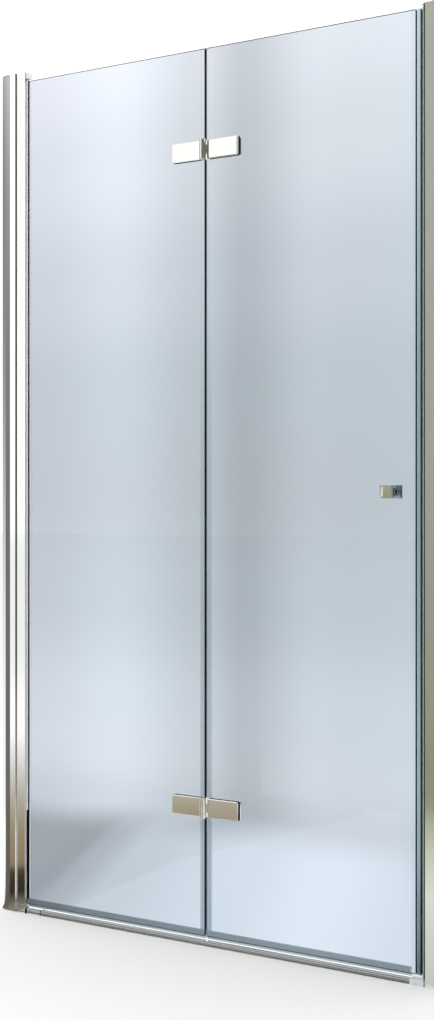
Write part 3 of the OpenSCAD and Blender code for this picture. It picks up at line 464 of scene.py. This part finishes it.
tall_glow, tall_tree, tall_colour = glowing("pale blue greys")
tall_place = placed(tall_tree)
tall_tone = blended(tall_tree, blend_of_tones(tall_tree, tall_place["Y"], TALL_TONES),
                    blend_of_tones(tall_tree, tall_place["X"], TALL_SHARES))
tall_tree.links.new(tall_tone, tall_colour)
tall_card = upright_card("tall card", TALL_WIDTH, TALL_HEIGHT, (TALL_X, TALL_Y), 0, tall_glow)
show_only_in(tall_card, "transmission")
print(f"The tall card is {TALL_WIDTH} by {TALL_HEIGHT} m")

# %% [markdown]
# A second card lies on the floor and carries the tone of the tall one on to the door.
# Its tones run along the doorway, a little aslant, and towards the back they blend into the tone
# at the foot of the tall card, so that no line shows where the two meet.

# %% Floor card seen through the glass
FLOOR_TONES = [
    (0.570, (0.36, 0.38, 0.42)),
    (0.600, (0.35, 0.37, 0.41)),
    (0.614, (0.44, 0.48, 0.53)),
    (0.640, (0.58, 0.64, 0.71)),
    (0.710, (0.68, 0.75, 0.84)),
    (0.763, (0.79, 0.85, 0.95)),
    (0.820, (0.70, 0.76, 0.85)),
]
FLOOR_SLANT = 0.12
TALL_FOOT_TONE = TALL_TONES[0][1]
TOWARDS_THE_BACK = [(0.6, BLACK), (1.0, WHITE)]
FLOOR_CARD_FRONT = 0.02
FLOOR_CARD_LIFT = 0.001

floor_glow, floor_tree, floor_colour = glowing("floor blue greys")
floor_place = placed(floor_tree)
slanted = floor_tree.nodes.new("ShaderNodeMath")
slanted.operation = "MULTIPLY_ADD"
slanted.inputs[1].default_value = FLOOR_SLANT
floor_tree.links.new(floor_place["Y"], slanted.inputs[0])
floor_tree.links.new(floor_place["X"], slanted.inputs[2])
near_tone = blend_of_tones(floor_tree, slanted.outputs[0], FLOOR_TONES)
far_tone = blended(floor_tree, TALL_FOOT_TONE,
                   blend_of_tones(floor_tree, floor_place["X"], TALL_SHARES))
floor_tone = blended(floor_tree, near_tone, far_tone,
                     blend_of_tones(floor_tree, floor_place["Y"], TOWARDS_THE_BACK))
floor_tree.links.new(floor_tone, floor_colour)

card_left, card_right = TALL_X - TALL_WIDTH / 2, TALL_X + TALL_WIDTH / 2
floor_corners = [(card_left, FLOOR_CARD_FRONT), (card_right, FLOOR_CARD_FRONT),
                 (card_right, TALL_Y), (card_left, TALL_Y)]
floor_card = flat_sheet("floor card", floor_corners, floor_glow)
floor_card.location.z = FLOOR_CARD_LIFT
show_only_in(floor_card, "transmission")
print(f"The floor card reaches {TALL_Y - FLOOR_CARD_FRONT:.2f} m back")


# %% [markdown]
# ## How a finish is built
#
# A flat colour makes any metal look like paint.
# Each finish starts from one shader and gets small touches from a noise pattern: a shine or a
# colour that varies a little, as on wiped and handled surfaces, and a very shallow relief.
# The pattern is stretched along the direction in which the piece was drawn, ground or moulded.
# Its size is given in grains per metre, so a fine pattern has a large number.

# %% Patterns for shine and relief
NOISE_LOW, NOISE_HIGH = 0.3, 0.7


def pattern(material, grains, detail=3.0):
    """Noise in the piece's own space; grains is one number, or one for each of x, y and z."""
    tree = material.node_tree
    place = tree.nodes.new("ShaderNodeTexCoord")
    stretch = tree.nodes.new("ShaderNodeMapping")
    stretch.inputs["Scale"].default_value = grains if isinstance(grains, tuple) else (grains,) * 3
    noise = tree.nodes.new("ShaderNodeTexNoise")
    noise.inputs["Scale"].default_value = 1.0
    noise.inputs["Detail"].default_value = detail
    tree.links.new(place.outputs["Object"], stretch.inputs["Vector"])
    tree.links.new(stretch.outputs["Vector"], noise.inputs["Vector"])
    return noise.outputs["Fac"]


def vary_shine(material, grains, smooth, rough, detail=3.0):
    """Lets the roughness run between two values with a pattern."""
    tree = material.node_tree
    spread = tree.nodes.new("ShaderNodeMapRange")
    spread.inputs["From Min"].default_value = NOISE_LOW
    spread.inputs["From Max"].default_value = NOISE_HIGH
    spread.inputs["To Min"].default_value = smooth
    spread.inputs["To Max"].default_value = rough
    tree.links.new(pattern(material, grains, detail), spread.inputs["Value"])
    tree.links.new(spread.outputs["Result"], surface_of(material).inputs["Roughness"])


def relief(material, grains, depth, detail=3.0):
    """Raises the surface by a pattern."""
    tree = material.node_tree
    bump = tree.nodes.new("ShaderNodeBump")
    bump.inputs["Distance"].default_value = depth
    tree.links.new(pattern(material, grains, detail), bump.inputs["Height"])
    tree.links.new(bump.outputs["Normal"], surface_of(material).inputs["Normal"])


print("Patterns can vary the shine and the relief")


# %% [markdown]
# ### Polished aluminium
#
# The jambs, the stile and the threshold strip are extrusions, polished and anodised.
# A die leaves faint lines along the length, so the relief pattern is long along the bar and fine
# across it.
# The strip lies along x and the rest stand along z, so there are two versions.
# The round stile is only satin anodised, so it looks paler and duller than the jambs.
# The grooves in the front of the strip are painted dark, as painted shade for the shade that
# gathers in them.

# %% Polished aluminium
METAL = {"Metallic": 1.0}
WIPE_MARKS = (9, 9, 2.5)
UPRIGHT_LINES = (900, 900, 3)
LYING_LINES = (3, 900, 900)


def drawn_aluminium(name, lines):
    """Bright aluminium with wipe marks, and with die lines in one direction."""
    material = start_finish(name, (0.92, 0.92, 0.92), roughness=0.1, settings=METAL)
    vary_shine(material, WIPE_MARKS, smooth=0.06, rough=0.13)
    relief(material, lines, depth=0.000004, detail=2.0)
    return material


finishes = {"polished_aluminium": drawn_aluminium("polished aluminium", UPRIGHT_LINES)}
strip_aluminium = drawn_aluminium("polished aluminium strip", LYING_LINES)

# Painted shade: the faces inside the strip's grooves are painted near black, for the shade that
# gathers in them.
groove_shade_aluminium = start_finish("aluminium in a groove, painted shade", (0.05, 0.05, 0.048), 0.5, METAL)
vary_shine(groove_shade_aluminium, LYING_LINES, smooth=0.4, rough=0.6)

satin_aluminium = start_finish("satin aluminium", (0.93, 0.94, 0.95), 0.4, {"Metallic": 0.25})
vary_shine(satin_aluminium, UPRIGHT_LINES, smooth=0.34, rough=0.46)
print(f"Aluminium: die lines about {1000 / LYING_LINES[1]:.1f} mm apart")

# %% [markdown]
# ### Chrome plate
#
# Hinges and knobs are brass castings, polished and plated.
# The plate is mirror bright, with the slightest waviness left by the polishing wheel and a few
# soft wipe marks.
# Behind the head of a knob the plate is painted darker and softer, as painted shade for the shade
# in that recess.

# %% Chrome plate
WHEEL_WAVES = 350

chrome = start_finish("chrome plate", (0.86, 0.85, 0.82), roughness=0.06, settings=METAL)
vary_shine(chrome, grains=60, smooth=0.03, rough=0.09)
relief(chrome, WHEEL_WAVES, depth=0.000006, detail=1.0)
finishes["chrome_plate"] = chrome

# Painted shade: a darker chrome for the faces behind a knob's head.
shade_painted_chrome = start_finish("chrome in a recess, painted shade", (0.30, 0.35, 0.36), roughness=0.2, settings=METAL)
vary_shine(shade_painted_chrome, grains=200, smooth=0.14, rough=0.26)
print(f"Chrome: a mirror with waves about {1000 / WHEEL_WAVES:.0f} mm long")

# %% [markdown]
# ### Glass and its ground edge
#
# The panes are 6 mm float glass, toughened, with a faint blue-grey cast.
# Face and edge are two finishes: the face is clear and very smooth, while the ground and polished
# edge is painted an opaque dark blue-green, as painted shade for the light that enters it and has
# come a long way through the pane.
# The colour of the edge varies a little as well, so it gets a pattern of its own.

# %% Glass
CLEAR = {"Transmission Weight": 1.0}


def vary_colour(material, grains, dark, light):
    """Lets the colour run between two tones with a pattern."""
    tree = material.node_tree
    tones = [(NOISE_LOW, dark), (NOISE_HIGH, light)]
    colour = blend_of_tones(tree, pattern(material, grains), tones)
    tree.links.new(colour, surface_of(material).inputs["Base Color"])


glass = start_finish("clear glass", (0.93, 0.96, 0.985), 0.0, settings={"IOR": 1.5, **CLEAR})
vary_shine(glass, grains=5, smooth=0.0, rough=0.012, detail=4.0)
finishes["clear_glass"] = glass

# Painted shade: the edge is an opaque near black with no mirror, painted in place of the dark look
# that the long way through the pane gives it.
dark_edge_paint = start_finish("painted dark edge", (0.004, 0.016, 0.02), 0.15, NO_MIRROR)
vary_colour(dark_edge_paint, grains=30, dark=(0.003, 0.012, 0.015), light=(0.007, 0.024, 0.028))
vary_shine(dark_edge_paint, grains=(400, 400, 40), smooth=0.06, rough=0.2)
print("Glass: a clear face and a dark ground edge")

# %% [markdown]
# ### Vinyl seals
#
# The seals are clear soft vinyl.
# Clear vinyl is never quite as clear as glass: it is a little hazy and grey, and its faces show
# the long lines of the die.
# It bends light far less than glass does in the scene, so the dark edge of a pane stays sharp
# behind it.
# The strip on the right jamb is a clear lip on a rigid stem, and the stem is painted dark, as
# painted shade for the recess in the jamb where it sits. The washers at the knob get the same
# painted shade, for the shade between the knob and the glass.

# %% Clear vinyl
UPRIGHT_VINYL_LINES = (700, 700, 2)
LYING_VINYL_LINES = (2, 700, 700)
SOFT_VINYL = {"IOR": 1.03, "Coat Weight": 0.12, "Coat Roughness": 0.08, **CLEAR}


def clear_vinyl(name, colour, lines, settings=SOFT_VINYL):
    """Vinyl whose die lines run along the direction with the fewest grains per metre."""
    material = start_finish(name, colour, roughness=0.08, settings=settings)
    vary_shine(material, lines, smooth=0.01, rough=0.03, detail=1.0)
    return material


vinyl = clear_vinyl("clear vinyl upright", (0.93, 0.96, 0.97), UPRIGHT_VINYL_LINES)
finishes["clear_vinyl"] = vinyl
# Painted shade: the lying vinyl is a darker grey than the upright vinyl.
lying_vinyl_shade = clear_vinyl("clear vinyl lying, painted shade", (0.57, 0.605, 0.605), LYING_VINYL_LINES)

# Painted shade: a near black for the stem of the jamb strip and the knob washers.
stem_shade_vinyl = start_finish("rigid stem, painted shade", (0.03, 0.04, 0.042), 0.3, {"Specular IOR Level": 0.15})
vary_colour(stem_shade_vinyl, UPRIGHT_VINYL_LINES,
            dark=(0.02, 0.028, 0.03), light=(0.045, 0.055, 0.058))
print("Vinyl: a little hazy, with long die lines")

# %% [markdown]
# The two seals at the joint darken downwards, as painted shade, since less light reaches them near
# the floor. The thick head of the seal at the free edge is greyer still, and its painted shade is
# darkest near the floor. A ramp over the height of the piece gives both, and the coat is left off,
# so the surface has no gloss.

# %% Vinyl with painted shade towards the floor
JOINT_TONES = [
    (0.00, (0.72, 0.75, 0.76)),
    (0.27, (0.83, 0.85, 0.86)),
    (0.50, (0.89, 0.92, 0.93)),
    (0.73, (0.98, 1.00, 1.00)),
    (1.00, (1.00, 1.00, 1.00)),
]
FREE_EDGE_TONES = [
    (0.00, (0.42, 0.48, 0.49)),
    (0.06, (0.55, 0.60, 0.61)),
    (0.14, (0.70, 0.76, 0.77)),
    (0.60, (0.72, 0.79, 0.79)),
    (1.00, (0.80, 0.86, 0.87)),
]
DULL_VINYL = {**SOFT_VINYL, "Coat Weight": 0.0}


def vinyl_shaded_down(name, tones):
    """Upright vinyl whose tone changes from its foot to its top."""
    material = clear_vinyl(name, (0.90, 0.93, 0.95), UPRIGHT_VINYL_LINES, DULL_VINYL)
    tree = material.node_tree
    # Painted shade: the tone darkens towards the foot of the piece.
    tone = blend_of_tones(tree, placed(tree)["Z"], tones)
    tree.links.new(tone, surface_of(material).inputs["Base Color"])
    return material


joint_vinyl = vinyl_shaded_down("clear vinyl at the joint", JOINT_TONES)
free_edge_vinyl = vinyl_shaded_down("clear vinyl at the free edge", FREE_EDGE_TONES)
print("Filmed vinyl: two tones that darken towards the floor")

# %% [markdown]
# ### Rubber, plastics, magnet and steel
#
# The wedge gasket and the hinge gaskets are black rubber with a fine matt grain.
# The top block is moulded in white plastic, and the bushes and the strip's end cap in plain grey
# nylon.
# The bars in the two magnetic seals are magnet powder bound in rubber, dark in the leaf and
# greyer in the jamb.
# The screws and pins are plain stainless steel, turned or rolled, so their pattern is finer.

# %% Rubber and plastics
rubber = start_finish("black rubber", (0.002, 0.002, 0.003), 0.6, {"Specular IOR Level": 0.06})
vary_shine(rubber, grains=300, smooth=0.45, rough=0.7)
relief(rubber, grains=1500, depth=0.00002)
finishes["black_rubber"] = rubber

white_plastic = start_finish("white plastic", (0.82, 0.83, 0.83), roughness=0.35)
vary_colour(white_plastic, grains=25, dark=(0.79, 0.80, 0.80), light=(0.85, 0.855, 0.855))
relief(white_plastic, grains=1200, depth=0.000012)
finishes["white_plastic"] = white_plastic

nylon = start_finish("grey nylon", (0.52, 0.54, 0.55), roughness=0.5)
vary_colour(nylon, grains=120, dark=(0.48, 0.50, 0.51), light=(0.56, 0.58, 0.59))
finishes["grey_nylon"] = nylon
print("Rubber with a fine grain, and two plastics with faint clouds")

# %% Magnet bars and steel
POWDER = 900

magnet = start_finish("magnet bar", (0.02, 0.03, 0.035), roughness=0.55)
vary_colour(magnet, POWDER, dark=(0.015, 0.022, 0.027), light=(0.03, 0.042, 0.048))
finishes["magnet_bar"] = magnet

grey_magnet = start_finish("grey magnet bar", (0.3, 0.35, 0.36), roughness=0.5)
vary_colour(grey_magnet, POWDER, dark=(0.26, 0.31, 0.32), light=(0.35, 0.40, 0.41))

steel = start_finish("stainless steel", (0.62, 0.61, 0.60), roughness=0.28, settings=METAL)
vary_shine(steel, grains=500, smooth=0.2, rough=0.38)
relief(steel, grains=(1800, 1800, 300), depth=0.000006)
finishes["stainless_steel"] = steel
print(f"{len(finishes)} finishes, one for each material of the door")


# %% [markdown]
# ## Edges that catch the light
#
# No real edge is perfectly sharp.
# An extrusion leaves its die with a radius of about 0.3 mm, a clamp plate is linished to about
# 0.4 mm, and a moulded block is a little rounder, at 0.5 mm.
# That narrow round is what draws the bright line along an edge.
#
# Each piece is copied, its flat faces are merged, and a bevel of the right radius rounds every
# edge over 30 degrees.
# Weighted normals then keep the large faces flat while the narrow round shades smoothly.

# %% A copy that takes the place of its solid
SAME_POINT = 0.000001
SAME_PLANE = math.radians(0.5)

slot_of = {part["node"]: part["material_slot"] for part in frame["record"]["subparts"]}


def merged_flats(node):
    """A working copy of a solid's mesh, with its points joined and its flat faces merged."""
    shape = bmesh.new()
    shape.from_mesh(nodes[node].data)
    bmesh.ops.remove_doubles(shape, verts=shape.verts, dist=SAME_POINT)
    bmesh.ops.dissolve_limit(shape, angle_limit=SAME_PLANE, verts=shape.verts, edges=shape.edges)
    return shape


def made_into_mesh(bench):
    """The mesh that a curve or a mesh with modifiers comes to; the object itself goes."""
    scene.collection.objects.link(bench)
    bpy.context.view_layer.update()
    final = bench.evaluated_get(bpy.context.evaluated_depsgraph_get())
    mesh = bpy.data.meshes.new_from_object(final)
    bpy.data.objects.remove(bench)
    return mesh


def dressed(mesh, node, materials):
    """Puts a finished mesh on the door in the place of its solid."""
    piece = bpy.data.objects.new(f"{node}_finished", mesh)
    scene.collection.objects.link(piece)
    mesh.materials.clear()
    for material in materials:
        mesh.materials.append(material)
    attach(piece, nodes[node]["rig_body"])
    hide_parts(node)
    return piece


print("A finished copy rides on its solid's body and stands for it")

# %% A softened copy
SHARP_EDGE = 30
BEVEL_STEPS = 2


def softened(node, radius, material=None, shape=None, facets_over=None):
    """Replaces a solid by a copy whose sharp edges are rounded; angles are in degrees."""
    shape = shape or merged_flats(node)
    mesh = bpy.data.meshes.new(node)
    shape.to_mesh(mesh)
    shape.free()
    mesh.shade_smooth()
    bench = bpy.data.objects.new("bench", mesh)
    bevel = bench.modifiers.new("bevel", "BEVEL")
    bevel.width = radius
    bevel.segments = BEVEL_STEPS
    bevel.limit_method = "ANGLE"
    bevel.angle_limit = math.radians(SHARP_EDGE)
    bevel.miter_outer = "MITER_ARC"
    bench.modifiers.new("weighted_normal", "WEIGHTED_NORMAL").keep_sharp = True
    rounded = made_into_mesh(bench)
    if facets_over:
        rounded.set_sharp_from_angle(angle=math.radians(facets_over))
    return dressed(rounded, node, [material or finishes[slot_of[node]]])


print(f"Edges over {SHARP_EDGE} degrees are rounded in {BEVEL_STEPS} steps")

# %% [markdown]
# ## Extrusions
#
# The wall channels, the sliding profiles, the stile and the strip keep their radius small, because
# the round seat and the stile have to run close together.
# The strip is one piece with two finishes: polished ribs, and grooves between them painted dark as
# painted shade.

# %% Jambs, stile and strip
DIE_RADIUS = 0.0003
GROOVE_FROM, GROOVE_TO = 0.0002, 0.0009  # behind the front of the strip


def second_finish(piece, material, covers):
    """Gives a second finish to the faces that it covers."""
    piece.data.materials.append(material)
    faces = [face for face in piece.data.polygons if covers(face)]
    for face in faces:
        face.material_index = 1
    print(f"{piece.name}: {len(faces)} faces in {material.name}")


uprights = ("left_wall_channel", "left_jamb_profile", "right_wall_channel", "right_jamb_profile",
            "left_jamb_foot")
for upright in uprights:
    softened(upright, DIE_RADIUS)
softened("pivot_stile", DIE_RADIUS, satin_aluminium)
strip = softened("threshold_strip", DIE_RADIUS, strip_aluminium)
# The groove faces get the painted shade.
second_finish(strip, groove_shade_aluminium,
              lambda face: GROOVE_FROM < face.center.y - strip_low.y < GROOVE_TO)
print(f"{len(uprights) + 2} extrusions softened by {1000 * DIE_RADIUS:.1f} mm")

# %% [markdown]
# ## Hinges
#
# A hinge plate is what a hand and the eye meet first, so it is the most carefully finished piece.
# Its front face has a flat chamfer of 1 mm all round, and its two outer corners are round.
# A bevel on the whole mesh would also cut the knuckles, so only the edges of the front rim and
# of the outer end are picked out and bevelled.

# %% A hinge plate with round corners
SAME_PLACE = 0.00001
PLATE_CORNER = 0.003
CORNER_STEPS = 4
PLATE_CHAMFER = 0.001
ROUND_PROFILE = 0.5
SIDEWAYS, FACING = 0.1, 0.99  # how far a face looks along y


def level(edge, axis):
    """Whether an edge keeps one value along an axis."""
    first, second = edge.verts
    return abs(first.co[axis] - second.co[axis]) < SAME_PLACE


def at(edge, axis, place):
    """Whether an edge starts at a place along an axis."""
    return abs(edge.verts[0].co[axis] - place) < SAME_PLACE


def on_front_rim(edge, front):
    """Whether an edge lies between the front face and a side face."""
    if not (level(edge, 1) and at(edge, 1, front) and len(edge.link_faces) == 2):
        return False
    side, face = sorted(abs(face.normal.y) for face in edge.link_faces)
    return side < SIDEWAYS and face > FACING


def plate_shape(node, outer, chamfer=0.0):
    """A plate's working copy with round corners at its outer end, and a chamfer at its front."""
    shape = merged_flats(node)
    end = outer(point.co.x for point in shape.verts)
    corners = [edge for edge in shape.edges
               if level(edge, 0) and level(edge, 2) and not level(edge, 1) and at(edge, 0, end)]
    bmesh.ops.bevel(shape, geom=corners, offset=PLATE_CORNER, segments=CORNER_STEPS,
                    profile=ROUND_PROFILE, affect="EDGES")
    if chamfer:
        front = min(point.co.y for point in shape.verts if abs(point.co.x - end) < SAME_PLACE)
        rim = [edge for edge in shape.edges if on_front_rim(edge, front)]
        bmesh.ops.bevel(shape, geom=rim, offset=chamfer, segments=1, profile=ROUND_PROFILE,
                        affect="EDGES")
    return shape


print(f"Plate: {1000 * PLATE_CORNER:.0f} mm corners and a {1000 * PLATE_CHAMFER:.0f} mm chamfer")

# %% Hinges
PLATE_RADIUS = 0.0001
PLATE_FACETS = 25
CLAMP_RADIUS = 0.0004
RUBBER_RADIUS = 0.0002
SCREW_RADIUS = 0.0003
PIN_RADIUS = 0.0006

for height in ("upper", "lower"):
    for side, outer in (("left", min), ("right", max)):
        hinge = f"{height}_hinge_{side}"
        plate, clamp, gaskets = f"{hinge}_plate", f"{hinge}_clamp", f"{hinge}_gaskets"
        softened(plate, PLATE_RADIUS, shape=plate_shape(plate, outer, PLATE_CHAMFER),
                 facets_over=PLATE_FACETS)
        softened(clamp, CLAMP_RADIUS, shape=plate_shape(clamp, outer))
        softened(gaskets, RUBBER_RADIUS, shape=plate_shape(gaskets, outer))
        softened(f"{hinge}_screws", SCREW_RADIUS)
    softened(f"{height}_hinge_pin", PIN_RADIUS)
    print(f"The {height} hinge is finished")

# %% [markdown]
# ## Knobs
#
# Each knob is a square head on a round neck, and the two knobs hold each other through the glass.
# Only the front of a head keeps the bright chrome; the faces further back get a darker chrome,
# painted shade for the shade behind the head.

# %% Knobs
KNOB_RADIUS = 0.0003
KNOB_FACETS = 12
KNOBS = {"outside_knob": (-1, 0.003), "inside_knob": (1, 0.0056)}  # way out, bright depth

for knob, (out, bright_depth) in KNOBS.items():
    piece = softened(knob, KNOB_RADIUS, facets_over=KNOB_FACETS)
    bright_from = max(out * corner.co.y for corner in piece.data.vertices) - bright_depth
    # The faces behind the bright front get the painted shade.
    second_finish(piece, shade_painted_chrome, lambda face: out * face.center.y < bright_from)

# %% [markdown]
# ## Pivots, screws, caps and bushes
#
# The bottom block is a plated casting, and the pins and screws are turned and then tumbled, which
# takes the sharpness off every edge.
# A mould has no sharp inner corners, so moulded pieces are round everywhere.
# Washers, bushes and pads are small and stay crisper.

# %% Pivots and screws
CAST_RADIUS = 0.0005
turned_pieces = ("top_pivot_pin", "bottom_pivot_pin", "bottom_block_screw", "left_profile_screws",
                 "right_profile_screws", "top_block_screws", "knob_stud")

softened("bottom_pivot_block", CAST_RADIUS)
for turned in turned_pieces:
    softened(turned, SCREW_RADIUS)
print(f"One block and {len(turned_pieces)} turned pieces softened")

# %% Caps, blocks, bushes and washers
MOULDED_RADIUS = 0.0005
SMALL_RADIUS = 0.0002

for block in ("left_jamb_cap", "right_jamb_cap", "top_pivot_block"):
    softened(block, MOULDED_RADIUS)
softened("threshold_end_cap", MOULDED_RADIUS, nylon)
# The pads at the two ends of the bottom block are black rubber, and their black also paints the
# shade of the narrow gaps beside the block.
for small in ("top_pivot_bush", "bottom_pivot_bush", "bottom_block_pads"):
    softened(small, SMALL_RADIUS)
# Painted shade on the knob washers.
softened("knob_washers", SMALL_RADIUS, stem_shade_vinyl)
print(f"Caps and blocks softened by {1000 * MOULDED_RADIUS:.1f} mm, small pieces by "
      f"{1000 * SMALL_RADIUS:.1f} mm")

# %% [markdown]
# ## Seals
#
# Soft vinyl comes out of its die with round lips.
# Hardly any light comes through the narrow gap between the leaves, so the face of the left seal
# that meets the right leaf is painted dark with the edge paint, as painted shade.
# The seal at the free edge is clear where it grips the pane and greyer in its head.
# The lower seals lie along x, so they have the lying vinyl, which is painted a darker grey as
# painted shade for the shade at the foot of the leaves.
# Light passes through all the seals, so they cast no hard shadow.

# %% Seals of the two leaves
VINYL_RADIUS = 0.0003
HALF_PANE = 0.003
FACES_RIGHT = 0.9  # how far a face looks along x

seals = [softened(f"{side}_joint_seal", VINYL_RADIUS, joint_vinyl) for side in ("left", "right")]
# Painted shade: the face of the left seal in the gap gets the dark edge paint.
second_finish(seals[0], dark_edge_paint,
              lambda face: face.normal.x > FACES_RIGHT and abs(face.center.y) < HALF_PANE)
seals.append(softened("leaf_magnet_seal", VINYL_RADIUS))
pane_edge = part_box("right_glass")[1].x
second_finish(seals[-1], free_edge_vinyl, lambda face: face.center.x > pane_edge)
seals += [softened(f"{side}_drip_seal", VINYL_RADIUS, lying_vinyl_shade) for side in ("left", "right")]
softened("stile_gasket", RUBBER_RADIUS)
print(f"{len(seals)} seals and a gasket softened")

# %% Magnetic strip on the jamb
LIP_WIDTH = 0.0038

jamb_strip = softened("jamb_magnet_strip", VINYL_RADIUS)
stem_x = min(corner.co.x for corner in jamb_strip.data.vertices) + LIP_WIDTH
# The stem of the jamb strip gets the painted shade.
second_finish(jamb_strip, stem_shade_vinyl, lambda face: face.center.x > stem_x)
softened("jamb_magnet_bar", RUBBER_RADIUS, grey_magnet)
softened("leaf_magnet_bar", RUBBER_RADIUS)
for seal in seals + [jamb_strip]:
    seal.visible_shadow = False
print("The jamb strip and two magnet bars softened")


# %% [markdown]
# ## The panes
#
# A pane is cut, drilled, ground along every edge and only then toughened.
# The grinder takes a narrow slope off each edge and each hole, called the arris, and it dubs the
# corners.
# A flat curve suits this: its outline and its holes are drawn once, and extruding it with a
# one-step bevel grinds them all in the same way.

# %% Outline and holes of a pane
PANE_CORNER = 0.003
HINGE_HOLE = 0.014
KNOB_HOLE = 0.012
HOLE_STEPS = 48
HINGE_SCREW_HEAD = 0.011


def pane_outline(low, high):
    """Points round a rectangle with round corners, in x and z."""
    left, right = low.x + PANE_CORNER, high.x - PANE_CORNER
    bottom, top = low.z + PANE_CORNER, high.z - PANE_CORNER
    corners = [(right, top), (left, top), (left, bottom), (right, bottom)]
    points = []
    for turn, (x, z) in enumerate(corners):
        for step in range(CORNER_STEPS + 1):
            angle = QUARTER_TURN * (turn + step / CORNER_STEPS)
            points.append((x + PANE_CORNER * math.cos(angle), z + PANE_CORNER * math.sin(angle)))
    return points


def hole_outline(x, z, diameter):
    """Points round a hole, in x and z."""
    angles = [2 * math.pi * step / HOLE_STEPS for step in range(HOLE_STEPS)]
    return [(x + diameter / 2 * math.cos(angle), z + diameter / 2 * math.sin(angle))
            for angle in angles]


def hinge_holes(side):
    """Centres and diameters of one pane's hinge holes, found from its hinge screws."""
    holes = []
    for height in ("upper", "lower"):
        low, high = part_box(f"{height}_hinge_{side}_screws")
        z = (low.z + high.z) / 2
        for x in (low.x + HINGE_SCREW_HEAD / 2, high.x - HINGE_SCREW_HEAD / 2):
            holes.append((x, z, HINGE_HOLE))
    return holes


stud_low, stud_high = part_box("knob_stud")
knob_hole = ((stud_low.x + stud_high.x) / 2, (stud_low.z + stud_high.z) / 2, KNOB_HOLE)
print(f"The knob's hole is {knob_hole[1]:.3f} m above the floor")

# %% A pane as a flat curve
ARRIS = 0.0005


def ground_curve(node, low, high, holes):
    """A flat curve with a pane's outline and holes, thick and with its arris."""
    curve = bpy.data.curves.new(node, "CURVE")
    curve.dimensions = "2D"
    curve.fill_mode = "BOTH"
    curve.extrude = (high.y - low.y) / 2 - ARRIS
    curve.bevel_depth = ARRIS
    curve.bevel_resolution = 0
    curve.offset = -ARRIS
    for outline in [pane_outline(low, high)] + [hole_outline(*hole) for hole in holes]:
        line = curve.splines.new("POLY")
        line.points.add(len(outline) - 1)
        line.use_cyclic_u = True
        for point, (x, z) in zip(line.points, outline):
            point.co = (x, z, 0, 1)
    return curve


print(f"The arris is {1000 * ARRIS:.1f} mm wide")

# %% [markdown]
# The curve becomes a mesh, is turned upright and gets its two finishes: the clear face, and the
# painted dark edge round the outline and in the holes.
# The right pane's edge at the joint keeps the clear finish, so that the joint between the leaves
# draws one dark line.

# %% Glass panes
SEAL_CLEARANCE = 0.00003
CLEAR_SIDE = 0.5  # how far an edge face looks towards a side that stays clear


def glass_pane(node, holes, clear_side=0):
    """A pane in the place of its solid; clear_side is -1 where its left edge stays clear."""
    clearance = Vector((SEAL_CLEARANCE,) * 3)
    low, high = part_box(node)
    low, high = low + clearance, high - clearance
    mesh = made_into_mesh(bpy.data.objects.new(node, ground_curve(node, low, high, holes)))
    pane = bmesh.new()
    pane.from_mesh(mesh)
    bmesh.ops.remove_doubles(pane, verts=pane.verts, dist=SAME_POINT)
    bmesh.ops.transform(pane, verts=pane.verts, matrix=Matrix.Rotation(QUARTER_TURN, 4, "X"))
    bmesh.ops.translate(pane, verts=pane.verts, vec=(0, (low.y + high.y) / 2, 0))
    pane.to_mesh(mesh)
    pane.free()
    # The pane's edges get the painted dark edge.
    dressed(mesh, node, [glass, dark_edge_paint]).visible_shadow = False
    for face in mesh.polygons:
        clear = abs(face.normal.y) > FACING or face.normal.x * clear_side > CLEAR_SIDE
        face.material_index = 0 if clear else 1
        face.use_smooth = False
    print(f"{node}: {high.x - low.x:.3f} by {high.z - low.z:.3f} m with {len(holes)} holes")


glass_pane("left_glass", hinge_holes("left"))
glass_pane("right_glass", hinge_holes("right") + [knob_hole], clear_side=-1)
